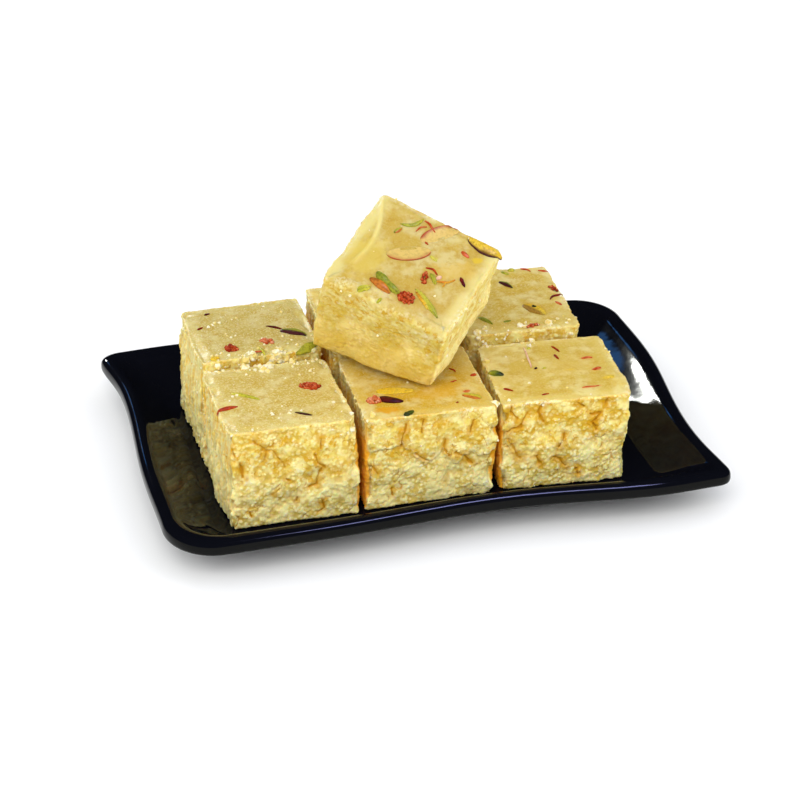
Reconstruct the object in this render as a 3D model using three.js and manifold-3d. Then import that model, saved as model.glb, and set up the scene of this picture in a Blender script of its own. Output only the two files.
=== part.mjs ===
// Kalakand on a dark plate: six squares of the milk sweet stand in two rows of three, and a seventh
// leans on them, propped at the back by a broken piece. Slivers of nut lie pressed into the tops.
//
// Millimetres, +Z up. The origin is the middle of the plate's foot, on the surface that the plate
// stands on. +X runs along the plate's long side, and +Y from the front row to the back row.
import * as THREE from 'three';
import { mergeVertices } from 'three/addons/utils/BufferGeometryUtils.js';
import Module from 'manifold-3d';

const wasm = await Module();
wasm.setup();

// ---------------------------------------------------------------- driving dimensions

// The plate: a rectangle with two pointed and two round corners, whose sides swing in a slow wave.
// The rectangle's middle stands a little off the middle of the whole, as one tip reaches farther.
const PLATE_MIDDLE = [1.0, 0.15];
const PLATE_HALF_LENGTH = 91.6;
const PLATE_HALF_WIDTH = 65.1;
const LIP_HEIGHT = 15.9; // top of the lip above the table
const LIP_FALL = 0.6; // the lip's outer ridge lies lower than its inner crest
const LIP_WIDTH = 3.7; // from the outer ridge to the inner crest
const BAND_HEIGHT = 4.4; // upright band below the outer ridge
const FLOOR_HEIGHT = 4.8;
const FLOOR_INSET = 18.3; // from the outer ridge to the foot of the inner wall
const WALL_THICKNESS = 3.0;
const FOOT_WIDTH = 4.5;
const FOOT_RECESS = 1.6; // the underside inside the foot stands clear of the table
// The corners' radii in plan: back right, back left, front left and front right.
const CORNER_RADII = { rim: [15.5, 5.6, 17.1, 4.1], floor: [9.0, 6.0, 9.0, 6.0] };
// How the short sides swing along X and the long ones along Y: both sides of a pair together, and
// apart from each other, where a plus draws both outwards.
const SHORT_SIDES = { slow: 1.0, quick: 0.3, apart: 0.5, apartSlow: 0.7 };
const LONG_SIDES = { slow: 0.4, quick: 0.5, apart: -2.4, apartSlow: -0.6 };
// How far the two pointed corners draw out of the rectangle, and how locally.
const TIPS = [
  { side: -1, pull: [-4.7, -2.4] }, // back left
  { side: 1, pull: [2.1, 2.8] }, // front right
];
const TIP_REACH = 18.8;
const FLOOR_WAVE_SHARE = 0.35; // the floor's outline follows the waves this much

// The squares: centre, turn about Z, width, depth, height, and how much wider the top is than the
// foot. Swells are places on the square where it bulges, or is dented: place, radius and reach.
const GAP = 0.3; // between any two pieces that touch
const STAND = FLOOR_HEIGHT + GAP; // the squares' undersides
const SQUARES = {
  block_front_left: {
    at: [-47.5, -22.6], turn: 1.8, size: [43.0, 44.0, 35.2], widen: -0.02,
    swells: [[21, -22, 12, 14, 1.3], [-21, 0, 8, 12, 1.0]],
  },
  block_front_middle: {
    at: [-1.7, -21.8], turn: 0.2, size: [43.2, 43.0, 33.7], widen: 0.01,
    swells: [[21, -20, 20, 8, 1.2]],
  },
  block_front_right: {
    at: [44.9, -22.3], turn: -3.6, size: [44.2, 42.2, 32.6], widen: 0.0,
    swells: [[22, -21, 9, 7, -2.3], [22, -10, 30, 6, 0.8]],
  },
  block_back_left: {
    at: [-48.2, 21.2], turn: 1.7, size: [45.2, 41.8, 36.9], widen: -0.08,
    swells: [[-22.6, 0, 20, 14, 1.6]],
  },
  block_back_middle: {
    at: [-3.1, 23.2], turn: -0.7, size: [43.6, 44.6, 37.4], widen: 0.01, swells: [],
  },
  block_back_right: {
    at: [42.1, 23.5], turn: -2.2, size: [41.0, 47.0, 35.9], widen: 0.0,
    swells: [[-6, 23, 36, 9, 1.8]],
  },
};
const SQUARE_FORM = { upright: 2.0, top: 1.1, frontTop: 1.1, foot: 0.8 }; // edge radii

// The leaning square: its underside's centre, and its turns about Z, then X, then Y.
const LEANING = {
  at: [-1.8, -3.3, 47.7 + STAND],
  turn: -43.2,
  pitch: 18.8,
  roll: 19.4,
  size: [45.6, 42.2, 29.4],
  widen: 0.0,
  swells: [],
  drop: 11.0, // how much deeper it was cut on its left
  bulge: 0.7, // its left side swells by this much
  bevel: { width: 8.0, fall: 2.6 }, // the worn slope along the top's left edge
};
const LEANING_FORM = { upright: 2.6, top: 1.2, frontTop: 3.4, foot: 1.6 };

// The broken piece behind it, which stands on the back middle square.
const PROP = { at: [-2.2, 17.3], turn: -24, size: [28.0, 18.0], widen: -0.1, clearance: 0.8 };
const PROP_FORM = { upright: 4.0, top: 1.2, frontTop: 1.2, foot: 0.8 };

// Crags: the cut sides are broken curd, so they lie inside the nominal square by up to this much.
const COARSE_CRAG = { depth: 1.3, length: 7.5 };
const FINE_CRAG = { depth: 0.7, length: 3.9 };
const TOP_SWELL = { height: 0.3, length: 15 };
const WORN_EDGE = 0.9; // most that a top edge has crumbled down

// What lies on the tops: kind, place on its square, turn, length, width and height above the top.
const TOPPINGS = {
  block_front_left: [
    ['chunk', 11.6, 2.9, -26, 7.2, 4.6, 1.3],
    ['sliver', -9.9, 1.8, -39, 10.6, 2.6, 0.7],
    ['sliver', -16.6, -4.6, 9, 7.2, 1.8, 0.9],
    ['sliver', 5.4, -14.0, -35, 6.2, 1.6, 0.6],
  ],
  block_front_middle: [
    ['chunk', -16.0, -9.4, -14, 4.0, 4.2, 1.3],
    ['sliver', -10.5, -9.8, -28, 8.4, 3.2, 1.3],
    ['sliver', -7.8, -4.4, -11, 12.6, 3.4, 0.8],
    ['chunk', -6.9, -18.9, 31, 4.4, 2.2, 0.9],
    ['sliver', 15.0, -12.6, -37, 6.6, 2.8, 0.7],
  ],
  block_front_right: [
    ['sliver', -17.4, 0.2, -31, 5.6, 2.4, 1.2],
    ['sliver', 3.9, 13.2, -67, 4.8, 1.3, 0.8],
    ['sliver', 3.0, 7.8, -77, 3.9, 1.3, 0.8],
    ['chunk', 16.0, -8.7, -3, 3.6, 2.6, 0.7],
    ['sliver', -16.6, -11.1, -37, 3.8, 1.4, 0.8],
  ],
  block_back_left: [
    ['chunk', -8.6, -12.2, -15, 4.8, 4.6, 1.4],
    ['chunk', 3.8, -10.7, -35, 5.2, 3.2, 1.2],
    ['sliver', 11.0, -5.4, -44, 13.4, 2.8, 1.1],
    ['sliver', 13.6, -16.2, 23, 8.8, 3.2, 1.6],
  ],
  block_back_middle: [
    ['sliver', 12.0, 12.5, 12, 8.0, 2.6, 0.9],
    ['chunk', -12.0, 11.0, 40, 4.0, 3.2, 1.1],
  ],
  block_back_right: [
    ['sliver', 2.2, 11.0, -53, 6.6, 2.0, 1.2],
    ['chunk', 15.8, 5.6, -67, 5.0, 2.2, 1.2],
    ['chunk', 7.4, -8.8, -59, 9.6, 4.4, 1.0],
    ['sliver', -10.8, -13.4, -58, 7.0, 2.0, 0.9],
    ['chunk', 4.0, -18.6, 14, 5.0, 2.4, 1.0],
  ],
  block_top: [
    ['sliver', -3.9, -12.3, -24, 11.6, 5.4, 2.2],
    ['chunk', 4.8, -13.5, 22, 5.8, 5.2, 1.7],
    ['sliver', 10.6, -11.9, -29, 13.0, 3.0, 0.9],
    ['chunk', -7.2, -16.5, 39, 4.4, 3.0, 0.9],
    ['chunk', 7.0, -2.5, 100, 6.2, 3.4, 1.1],
    ['sliver', -3.4, 2.8, 39, 14.4, 6.4, 0.7],
    ['sliver', 1.0, 14.1, 53, 12.0, 4.6, 0.6],
    ['sliver', 16.4, 14.5, -2, 12.6, 5.6, 1.6],
    ['sliver', 12.3, 11.3, -17, 3.6, 1.8, 0.8],
    ['sliver', 16.4, 1.7, -42, 4.2, 1.5, 0.8],
  ],
};
const TOPPING_ROOT = 1.8; // how deep a topping is pressed in

// Numbers of facets.
const RIM_CORNER_STEPS = 7;
const RIM_LONG_STEPS = 11;
const RIM_SHORT_STEPS = 8;
const SQUARE_SIDE_STEPS = 9;
const SQUARE_RISE_STEPS = 7;
const PROP_SIDE_STEPS = 6;
const PROP_RISE_STEPS = 3;
const CORNER_STEPS = 2;

// ---------------------------------------------------------------- repeatable unevenness

// A value from 0 to 1 for a point of a whole-number lattice, the same every time.
function latticeValue(i, j, k, seed) {
  let h = Math.imul(i, 0x9e3779b1) + Math.imul(j, 0x85ebca77) + Math.imul(k, 0xc2b2ae3d);
  h = (h + Math.imul(seed, 0x27d4eb2f)) >>> 0;
  h = Math.imul(h ^ (h >>> 15), 0x2c1b3c6d) >>> 0;
  h = Math.imul(h ^ (h >>> 12), 0x297a2d39) >>> 0;
  return ((h ^ (h >>> 15)) >>> 0) / 4294967296;
}

// Smooth noise from 0 to 1 between the lattice points.
function noise(x, y, z, seed) {
  const cell = [Math.floor(x), Math.floor(y), Math.floor(z)];
  const part = [x - cell[0], y - cell[1], z - cell[2]].map((t) => t * t * (3 - 2 * t));
  let sum = 0;
  for (let corner = 0; corner < 8; corner += 1) {
    const step = [corner & 1, (corner >> 1) & 1, (corner >> 2) & 1];
    const weight = step.reduce((w, s, axis) => w * (s ? part[axis] : 1 - part[axis]), 1);
    sum += weight * latticeValue(cell[0] + step[0], cell[1] + step[1], cell[2] + step[2], seed);
  }
  return sum;
}

function noiseAt(point, length, seed) {
  return noise(point.x / length, point.y / length, point.z / length, seed);
}

// ---------------------------------------------------------------- shapes from rings

// Points round a rectangle whose corners have radii of their own, counter-clockwise from the back
// right corner. Each point carries its outward direction in plan.
function rectanglePoints(halfX, halfY, radii, cornerSteps, stepsX, stepsY) {
  const points = [];
  const corners = [[1, 1], [-1, 1], [-1, -1], [1, -1]];
  corners.forEach(([sx, sy], index) => {
    const radius = radii[index];
    const centre = new THREE.Vector2(sx * (halfX - radius), sy * (halfY - radius));
    for (let s = 0; s <= cornerSteps; s += 1) {
      const angle = (index + s / cornerSteps) * Math.PI / 2;
      const out = new THREE.Vector2(Math.cos(angle), Math.sin(angle));
      points.push({ place: out.clone().multiplyScalar(radius).add(centre), out });
    }
    const [nx, ny] = corners[(index + 1) % 4];
    const nextRadius = radii[(index + 1) % 4];
    const from = points[points.length - 1];
    const alongX = index % 2 === 0;
    const to = alongX
      ? new THREE.Vector2(nx * (halfX - nextRadius), ny * halfY)
      : new THREE.Vector2(nx * halfX, ny * (halfY - nextRadius));
    const steps = alongX ? stepsX : stepsY;
    for (let s = 1; s < steps; s += 1) {
      points.push({ place: from.place.clone().lerp(to, s / steps), out: from.out.clone() });
    }
  });
  return points;
}

// A closed skin through rings of equal length, from the first ring's middle to the last ring's.
function skinRings(rings) {
  const count = rings[0].length;
  const positions = [];
  const index = [];
  rings.flat().forEach((p) => positions.push(p.x, p.y, p.z));
  for (let r = 0; r + 1 < rings.length; r += 1) {
    for (let i = 0; i < count; i += 1) {
      const next = (i + 1) % count;
      const a = r * count + i;
      const b = r * count + next;
      const c = a + count;
      const d = b + count;
      index.push(a, b, d, a, d, c);
    }
  }
  const middle = (ring) => ring.reduce((sum, p) => sum.add(p), new THREE.Vector3()).divideScalar(count);
  [rings[0], rings[rings.length - 1]].forEach((ring, end) => {
    const centre = middle(ring);
    const apex = positions.length / 3;
    positions.push(centre.x, centre.y, centre.z);
    const first = end === 0 ? 0 : (rings.length - 1) * count;
    for (let i = 0; i < count; i += 1) {
      const a = first + i;
      const b = first + (i + 1) % count;
      if (end === 0) index.push(b, a, apex);
      else index.push(a, b, apex);
    }
  });
  const geometry = new THREE.BufferGeometry();
  geometry.setAttribute('position', new THREE.Float32BufferAttribute(positions, 3));
  geometry.setIndex(index);
  return geometry;
}

// ---------------------------------------------------------------- the plate

// How far a pair of sides swings at a place along them, and on which side of the middle it lies.
function swingAt({ slow, quick, apart, apartSlow }, along, side) {
  const turn = along * Math.PI;
  const together = slow * Math.sin(turn) + quick * Math.sin(2 * turn);
  return together + side * (apart * Math.cos(turn) + apartSlow * Math.sin(turn));
}

function plateRing(inset, height) {
  const share = Math.min(inset / FLOOR_INSET, 1);
  const radii = CORNER_RADII.rim.map((rim, i) => THREE.MathUtils.lerp(rim, CORNER_RADII.floor[i], share));
  const halfX = PLATE_HALF_LENGTH - inset;
  const halfY = PLATE_HALF_WIDTH - inset;
  const swing = THREE.MathUtils.lerp(1, FLOOR_WAVE_SHARE, share);
  const points = rectanglePoints(halfX, halfY, radii, RIM_CORNER_STEPS, RIM_LONG_STEPS, RIM_SHORT_STEPS);
  return points.map(({ place }) => {
    const u = place.x / halfX;
    const v = place.y / halfY;
    let x = swingAt(SHORT_SIDES, v, u);
    let y = swingAt(LONG_SIDES, u, v);
    TIPS.forEach(({ side, pull }) => {
      const away = Math.hypot(place.x - side * halfX, place.y + side * halfY) / TIP_REACH;
      const near = Math.exp(-away * away);
      x += pull[0] * near;
      y += pull[1] * near;
    });
    const [middleX, middleY] = PLATE_MIDDLE;
    return new THREE.Vector3(middleX + place.x + swing * x, middleY + place.y + swing * y, height);
  });
}

// The section from the middle of the underside, out round the foot and the lip, and in over the floor.
function plateGeometry() {
  const wallRise = LIP_HEIGHT - FLOOR_HEIGHT;
  const wallRun = FLOOR_INSET - LIP_WIDTH;
  const slant = Math.hypot(wallRise, wallRun);
  const under = WALL_THICKNESS * slant / wallRun; // the wall's thickness, measured straight down
  const footOuter = FLOOR_INSET + 0.5;
  const ridge = LIP_HEIGHT - LIP_FALL;
  const alongWall = (share) => [FLOOR_INSET - wallRun * share, FLOOR_HEIGHT + wallRise * share];
  const [highInset, highWall] = alongWall(0.72);
  const [lowInset, lowWall] = alongWall(0.3);
  const section = [
    [footOuter + FOOT_WIDTH + 1.2, FOOT_RECESS],
    [footOuter + FOOT_WIDTH, 0],
    [footOuter, 0],
    [footOuter - 1.0, 0.9],
    [lowInset, lowWall - under],
    [highInset, highWall - under],
    [1.6, ridge - BAND_HEIGHT - 0.5],
    [0.5, ridge - BAND_HEIGHT],
    [0, ridge - BAND_HEIGHT + 0.7],
    [0, ridge - 0.8],
    [0.6, ridge],
    [LIP_WIDTH * 0.6, LIP_HEIGHT - 0.1],
    [LIP_WIDTH, LIP_HEIGHT],
    [LIP_WIDTH + 1.6, LIP_HEIGHT - 0.8],
    [highInset, highWall],
    [lowInset, lowWall],
    [FLOOR_INSET - 0.9, FLOOR_HEIGHT + 0.5],
    [FLOOR_INSET + 1.2, FLOOR_HEIGHT],
  ];
  return skinRings(section.map(([inset, height]) => plateRing(inset, height)));
}

// ---------------------------------------------------------------- the squares

// How far the crags cut in from the nominal side at a point.
function cragDepth(point, seed) {
  const coarse = COARSE_CRAG.depth * noiseAt(point, COARSE_CRAG.length, seed);
  return coarse + FINE_CRAG.depth * noiseAt(point, FINE_CRAG.length, seed + 1);
}

// How far the square's swells push its skin outwards at a point.
function swellAt(point, square) {
  return square.swells.reduce((sum, [x, y, z, radius, reach]) => {
    const away = Math.hypot(point.x - x, point.y - y, point.z - z) / radius;
    return sum + reach * Math.exp(-away * away);
  }, 0);
}

// One square about its own middle, its underside at height 0: rings from the underside, up the
// sides, over the rounded top edge and in across the top.
function squareGeometry(square, form, seed, sideSteps, riseSteps) {
  const [width, depth, height] = square.size;
  const sections = [{ z: 0, tuck: form.foot, top: 0 }, { z: form.foot, tuck: 0, top: 0 }];
  for (let s = 1; s < riseSteps; s += 1) {
    sections.push({ z: THREE.MathUtils.lerp(form.foot, height, s / riseSteps), tuck: 0, top: 0 });
  }
  sections.push({ z: height, tuck: 0.3, top: 0.7, edge: true });
  sections.push({ z: height, tuck: 1.0, top: 0.0, edge: true });
  sections.push({ z: height, inner: 0.68 });
  sections.push({ z: height, inner: 0.34 });
  const corner = Array(4).fill(form.upright);
  const rings = sections.map((section) => {
    const wider = 1 + square.widen * section.z / height;
    const halfX = width / 2 * wider;
    const halfY = depth / 2 * wider;
    const points = rectanglePoints(halfX, halfY, corner, CORNER_STEPS, sideSteps, sideSteps);
    return points.map(({ place, out }) => {
      const front = Math.max(0, -out.y) ** 2;
      const edgeRadius = THREE.MathUtils.lerp(form.top, form.frontTop, front);
      const point = new THREE.Vector3(place.x, place.y, section.z);
      const swell = swellAt(point, square);
      if (section.inner) {
        point.set(place.x * section.inner, place.y * section.inner, height);
      } else {
        const tuck = section.edge ? section.tuck * edgeRadius : section.tuck;
        const inward = tuck + cragDepth(point, seed) * (section.edge ? 0.6 : 1) - swell;
        point.x -= out.x * inward;
        point.y -= out.y * inward;
        point.z -= section.top * edgeRadius;
      }
      if (section.edge) point.z += swell;
      if (section.edge || section.inner) point.z -= topFall(point, square, seed, section);
      return bent(point, square);
    });
  });
  return skinRings(rings);
}

// The top lies a little below its nominal height: a slow swell all over, and crumbled edges.
function topFall(point, square, seed, section) {
  const swell = TOP_SWELL.height * noiseAt(point, TOP_SWELL.length, seed + 2);
  const worn = section.edge ? WORN_EDGE * noiseAt(point, FINE_CRAG.length, seed + 3) ** 2 : 0;
  return swell + worn;
}

// The leaning square's own uneven form: a deeper left, a swollen left side and a worn left top edge.
function bent(point, square) {
  if (square.drop) {
    const [width, depth, height] = square.size;
    const left = THREE.MathUtils.clamp(0.5 - point.x / width, 0, 1);
    const rise = THREE.MathUtils.clamp(point.z / height, 0, 1);
    const forward = THREE.MathUtils.clamp(0.5 - point.y / depth, 0, 1);
    point.z -= square.drop * left * (1 - rise);
    point.x -= square.bulge * left * Math.sin(Math.PI * rise);
    const ridge = -width / 2 + square.bevel.width * Math.sqrt(forward);
    const slope = THREE.MathUtils.clamp((ridge - point.x) / square.bevel.width, 0, 1);
    point.z -= square.bevel.fall * slope * rise ** 4;
  }
  if (square.under) point.z *= square.under(point) / square.size[2];
  return point;
}

// ---------------------------------------------------------------- what lies on the tops

// A pointed sliver along X: six-sided rings that swell from one tip to the other.
function sliverGeometry(length, width, height) {
  const stations = [[-0.5, 0.16], [-0.24, 0.82], [0.08, 1], [0.34, 0.66], [0.5, 0.12]];
  const rings = stations.map(([along, girth]) => {
    const ring = [];
    for (let i = 0; i < 6; i += 1) {
      const angle = i / 6 * Math.PI * 2;
      const tall = Math.sin(angle) > 0 ? height : TOPPING_ROOT;
      const y = Math.cos(angle) * width / 2 * girth;
      ring.push(new THREE.Vector3(along * length, y, Math.sin(angle) * tall * girth));
    }
    return ring;
  });
  return skinRings(rings);
}

// A broken lump: a small ball pulled out of true.
function chunkGeometry(length, width, height, seed) {
  const geometry = new THREE.IcosahedronGeometry(1, 0);
  geometry.deleteAttribute('normal');
  geometry.deleteAttribute('uv');
  const lump = mergeVertices(geometry);
  const position = lump.getAttribute('position');
  for (let i = 0; i < position.count; i += 1) {
    const swell = 0.8 + 0.4 * latticeValue(i, 0, 0, seed);
    const z = position.getZ(i);
    position.setXYZ(
      i,
      position.getX(i) * length / 2 * swell,
      position.getY(i) * width / 2 * swell,
      z * (z > 0 ? height : TOPPING_ROOT),
    );
  }
  return lump;
}

function toSolid(geometry) {
  return new wasm.Manifold(new wasm.Mesh({
    numProp: 3,
    vertProperties: new Float32Array(geometry.getAttribute('position').array),
    triVerts: new Uint32Array(geometry.index.array),
  }));
}

function toGeometry(solid) {
  const mesh = solid.getMesh();
  const geometry = new THREE.BufferGeometry();
  geometry.setAttribute('position', new THREE.Float32BufferAttribute(mesh.vertProperties, 3));
  geometry.setIndex([...mesh.triVerts]);
  return geometry;
}

// The toppings fused to the square that they lie on.
function dressed(geometry, square, toppings) {
  const height = square.size[2];
  let solid = toSolid(geometry);
  toppings.forEach(([kind, x, y, turn, length, width, rise], index) => {
    const shape = kind === 'sliver'
      ? sliverGeometry(length, width, rise)
      : chunkGeometry(length, width, rise, index);
    shape.rotateZ(THREE.MathUtils.degToRad(turn));
    shape.translate(x, y, height - TOP_SWELL.height / 2);
    solid = solid.add(toSolid(shape));
  });
  return toGeometry(solid);
}

// ---------------------------------------------------------------- assembly

const dark = new THREE.MeshStandardMaterial({ color: 0x0b0c14, roughness: 0.12, metalness: 0.0 });
const curd = new THREE.MeshStandardMaterial({ color: 0xe9d893, roughness: 0.7, metalness: 0.0 });
const curdGolden = new THREE.MeshStandardMaterial({ color: 0xecd683, roughness: 0.6, metalness: 0.0 });

const group = new THREE.Group();

function addMesh(name, geometry, material) {
  const mesh = new THREE.Mesh(geometry, material);
  mesh.name = name;
  group.add(mesh);
  return mesh;
}

addMesh('plate', plateGeometry(), dark);

Object.entries(SQUARES).forEach(([name, square], index) => {
  const seed = 11 + 10 * index;
  const plain = squareGeometry(square, SQUARE_FORM, seed, SQUARE_SIDE_STEPS, SQUARE_RISE_STEPS);
  const mesh = addMesh(name, dressed(plain, square, TOPPINGS[name]), curd);
  mesh.position.set(square.at[0], square.at[1], STAND);
  mesh.rotation.z = THREE.MathUtils.degToRad(square.turn);
});

const leaningSeed = 91;
const leaningPlain = squareGeometry(LEANING, LEANING_FORM, leaningSeed, SQUARE_SIDE_STEPS, SQUARE_RISE_STEPS);
const leaning = addMesh('block_top', dressed(leaningPlain, LEANING, TOPPINGS.block_top), curdGolden);
leaning.position.set(...LEANING.at);
leaning.rotation.set(
  THREE.MathUtils.degToRad(LEANING.pitch),
  THREE.MathUtils.degToRad(LEANING.roll),
  THREE.MathUtils.degToRad(LEANING.turn),
  'ZXY',
);
leaning.updateMatrixWorld(true);

// The broken piece reaches up to the leaning square's underside, which slopes.
const undersideCorners = [[-1, -1], [1, -1], [-1, 1]].map(([sx, sy]) => {
  const [width, depth] = LEANING.size;
  const low = sx < 0 ? -LEANING.drop : 0;
  return new THREE.Vector3(sx * width / 2, sy * depth / 2, low).applyMatrix4(leaning.matrixWorld);
});
const underside = new THREE.Plane().setFromCoplanarPoints(...undersideCorners);
const propFoot = STAND + SQUARES.block_back_middle.size[2] + GAP;
const propTurn = THREE.MathUtils.degToRad(PROP.turn);

function propHeightAt(point) {
  const place = new THREE.Vector3(point.x, point.y, 0).applyAxisAngle(new THREE.Vector3(0, 0, 1), propTurn);
  const x = place.x + PROP.at[0];
  const y = place.y + PROP.at[1];
  const { normal, constant } = underside;
  return -(normal.x * x + normal.y * y + constant) / normal.z - propFoot - PROP.clearance;
}

const propSquare = {
  size: [...PROP.size, propHeightAt(new THREE.Vector3())],
  widen: PROP.widen,
  swells: [],
  under: propHeightAt,
};
const propSeed = 131;
const prop = addMesh(
  'broken_piece',
  squareGeometry(propSquare, PROP_FORM, propSeed, PROP_SIDE_STEPS, PROP_RISE_STEPS),
  curd,
);
prop.position.set(PROP.at[0], PROP.at[1], propFoot);
prop.rotation.z = propTurn;

export default group;
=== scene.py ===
"""A plate of kalakand: six squares of grainy milk sweet in two rows on a black plate with a wavy
rim, and a seventh that leans on them. Nut slivers and dried petals lie pressed into the tops.

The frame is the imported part's: +Z up, +X along the plate, +Y from the front row to the back row.
Shapes are worked out in millimetres and made in metres.
"""

import math

import bmesh
import bpy
import numpy as np
from mathutils import Matrix, Vector

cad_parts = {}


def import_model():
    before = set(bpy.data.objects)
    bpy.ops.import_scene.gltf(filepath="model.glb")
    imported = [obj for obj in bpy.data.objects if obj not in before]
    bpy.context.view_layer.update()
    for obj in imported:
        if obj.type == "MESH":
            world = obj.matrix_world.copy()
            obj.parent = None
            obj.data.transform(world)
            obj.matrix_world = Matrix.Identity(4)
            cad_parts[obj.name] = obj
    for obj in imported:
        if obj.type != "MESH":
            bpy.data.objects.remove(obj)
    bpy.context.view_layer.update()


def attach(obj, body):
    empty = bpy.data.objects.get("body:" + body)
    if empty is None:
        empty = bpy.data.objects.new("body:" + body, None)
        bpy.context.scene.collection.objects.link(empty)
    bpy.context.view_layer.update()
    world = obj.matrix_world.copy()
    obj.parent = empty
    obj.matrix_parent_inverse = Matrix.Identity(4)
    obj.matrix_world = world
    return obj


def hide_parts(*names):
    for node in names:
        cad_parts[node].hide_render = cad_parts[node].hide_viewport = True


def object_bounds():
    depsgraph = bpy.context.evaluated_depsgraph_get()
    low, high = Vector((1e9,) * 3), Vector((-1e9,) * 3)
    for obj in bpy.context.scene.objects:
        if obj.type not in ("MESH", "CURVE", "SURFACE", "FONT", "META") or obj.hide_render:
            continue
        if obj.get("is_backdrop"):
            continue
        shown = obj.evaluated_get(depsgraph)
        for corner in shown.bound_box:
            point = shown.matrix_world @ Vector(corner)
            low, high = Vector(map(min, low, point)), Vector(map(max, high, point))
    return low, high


MM = 0.001

# ---------------------------------------------------------------- driving values, in millimetres

PLATE_MIDDLE = (1.0, 0.15)
PLATE_HALF_LENGTH = 91.6
PLATE_HALF_WIDTH = 65.1
LIP_HEIGHT = 15.9
LIP_FALL = 0.6
LIP_WIDTH = 3.7
BAND_HEIGHT = 4.4
FLOOR_HEIGHT = 4.8
FLOOR_INSET = 18.3
WALL_THICKNESS = 3.0
FOOT_WIDTH = 4.5
FOOT_RECESS = 1.6
RIM_RADII = (15.5, 5.6, 17.1, 4.1)  # back right, back left, front left and front right
FLOOR_RADII = (9.0, 6.0, 9.0, 6.0)
# How a pair of sides swings: by a sine and a quicker sine together, and by a cosine and a sine apart.
SHORT_SIDES = (1.0, 0.3, 0.5, 0.7)
LONG_SIDES = (0.4, 0.5, -2.4, -0.6)
TIPS = ((-1, (-4.7, -2.4)), (1, (2.1, 2.8)))  # how the pointed corners draw out
TIP_REACH = 18.8
FLOOR_WAVE_SHARE = 0.35

GAP = 0.3
STAND = FLOOR_HEIGHT + GAP


def curd(at, turn, size, seed, **others):
    """A piece of curd: its centre, turn, size and the seed of its crags. The others are how it widens
    upwards, its swells (place, radius and reach), how golden its top is, how much of it sparkles, how
    rough its sides and its top are, which sides face no other square, how worn its top edges are, how
    warm its foot is, how pale its top's rims are, and how bright its top and its sides are."""
    usual = dict(widen=0.0, swells=[], golden=0.2, sparkle=0.2, rough=1.0, top_relief=0.08,
                 outer=("left", "right", "front", "back"), worn=1.0, warm=0.0, rim=(0.3, 0.3),
                 tone=(1.0, 1.0))
    return {**usual, **dict(at=at, turn=turn, size=size, seed=seed), **others}


SQUARES = {
    "block_front_left": curd(
        (-47.5, -22.6), 1.8, (43.0, 44.0, 35.2), 11, widen=-0.02, golden=0.15, sparkle=0.5,
        swells=[(21, -22, 12, 14, 1.3), (-21, 0, 8, 12, 1.0)], top_relief=0.14, worn=1.5,
        tone=(0.92, 1.03), outer=("left", "front")),
    # Its top is golden all over, partly painted shade under the leaning square.
    "block_front_middle": curd(
        (-1.7, -21.8), 0.2, (43.2, 43.0, 33.7), 21, widen=0.01, golden=1.0,
        swells=[(21, -20, 20, 8, 1.2)], tone=(0.93, 1.02), outer=("front",)),
    "block_front_right": curd(
        (44.9, -22.3), -3.6, (44.2, 42.2, 32.6), 31, sparkle=0.15, rough=1.15,
        swells=[(22, -21, 9, 7, -2.3), (22, -10, 30, 6, 0.8)], tone=(1.0, 1.05),
        outer=("right", "front")),
    "block_back_left": curd(
        (-48.2, 21.2), 1.7, (45.2, 41.8, 36.9), 41, widen=-0.08, golden=0.0, sparkle=0.6,
        swells=[(-22.6, 0, 20, 14, 1.6)], top_relief=0.22, worn=2.2, tone=(0.87, 1.07),
        outer=("left", "back")),
    "block_back_middle": curd(
        (-3.1, 23.2), -0.7, (43.6, 44.6, 37.4), 51, widen=0.01, golden=0.3, sparkle=0.3, worn=2.4,
        outer=("back",)),
    "block_back_right": curd(
        (42.1, 23.5), -2.2, (41.0, 47.0, 35.9), 61, golden=0.35, sparkle=0.25,
        swells=[(-6, 23, 36, 9, 1.8)], tone=(0.94, 0.99), outer=("right", "back")),
}
SQUARE_FORM = dict(upright=2.6, top=1.1, front_top=1.1, foot=0.8)
LEANING = curd((-1.8, -3.3, 47.7 + STAND), -43.2, (45.6, 42.2, 29.4), 91, pitch=18.8, roll=19.4,
               drop=11.0, bulge=0.7, bevel=(8.0, 2.6), fold=(7.6, 0.5, 0.7), corner_lift=2.2, golden=0.4, sparkle=0.06, rough=0.55, warm=0.6,
               rim=(0.9, 0.2), tone=(0.85, 0.85))
# Its left side is cut deeper by drop and swells by bulge; bevel is the width and fall of the worn slope
# along its top's left edge, fold the reach, height and width of the fold in its top's skin, and
# corner_lift how far its left front corner is raised at the foot.
LEANING_FORM = dict(upright=2.6, top=1.2, front_top=3.4, foot=1.6)
PROP = curd((-2.2, 17.3), -24.0, (28.0, 18.0), 131, widen=-0.1, clearance=0.8)
PROP_FORM = dict(upright=4.0, top=1.2, front_top=1.2, foot=0.8)
TOP_SQUARES = {**SQUARES, "block_top": LEANING}
ALL_CURD = {**TOP_SQUARES, "broken_piece": PROP}

COARSE_CRAG = (1.3, 7.5)  # depth and length
FINE_CRAG = (0.7, 3.9)
TOP_SWELL = (0.3, 15.0)
WORN_EDGE = 0.9
CHIPPED_CORNER = 2.6

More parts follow.
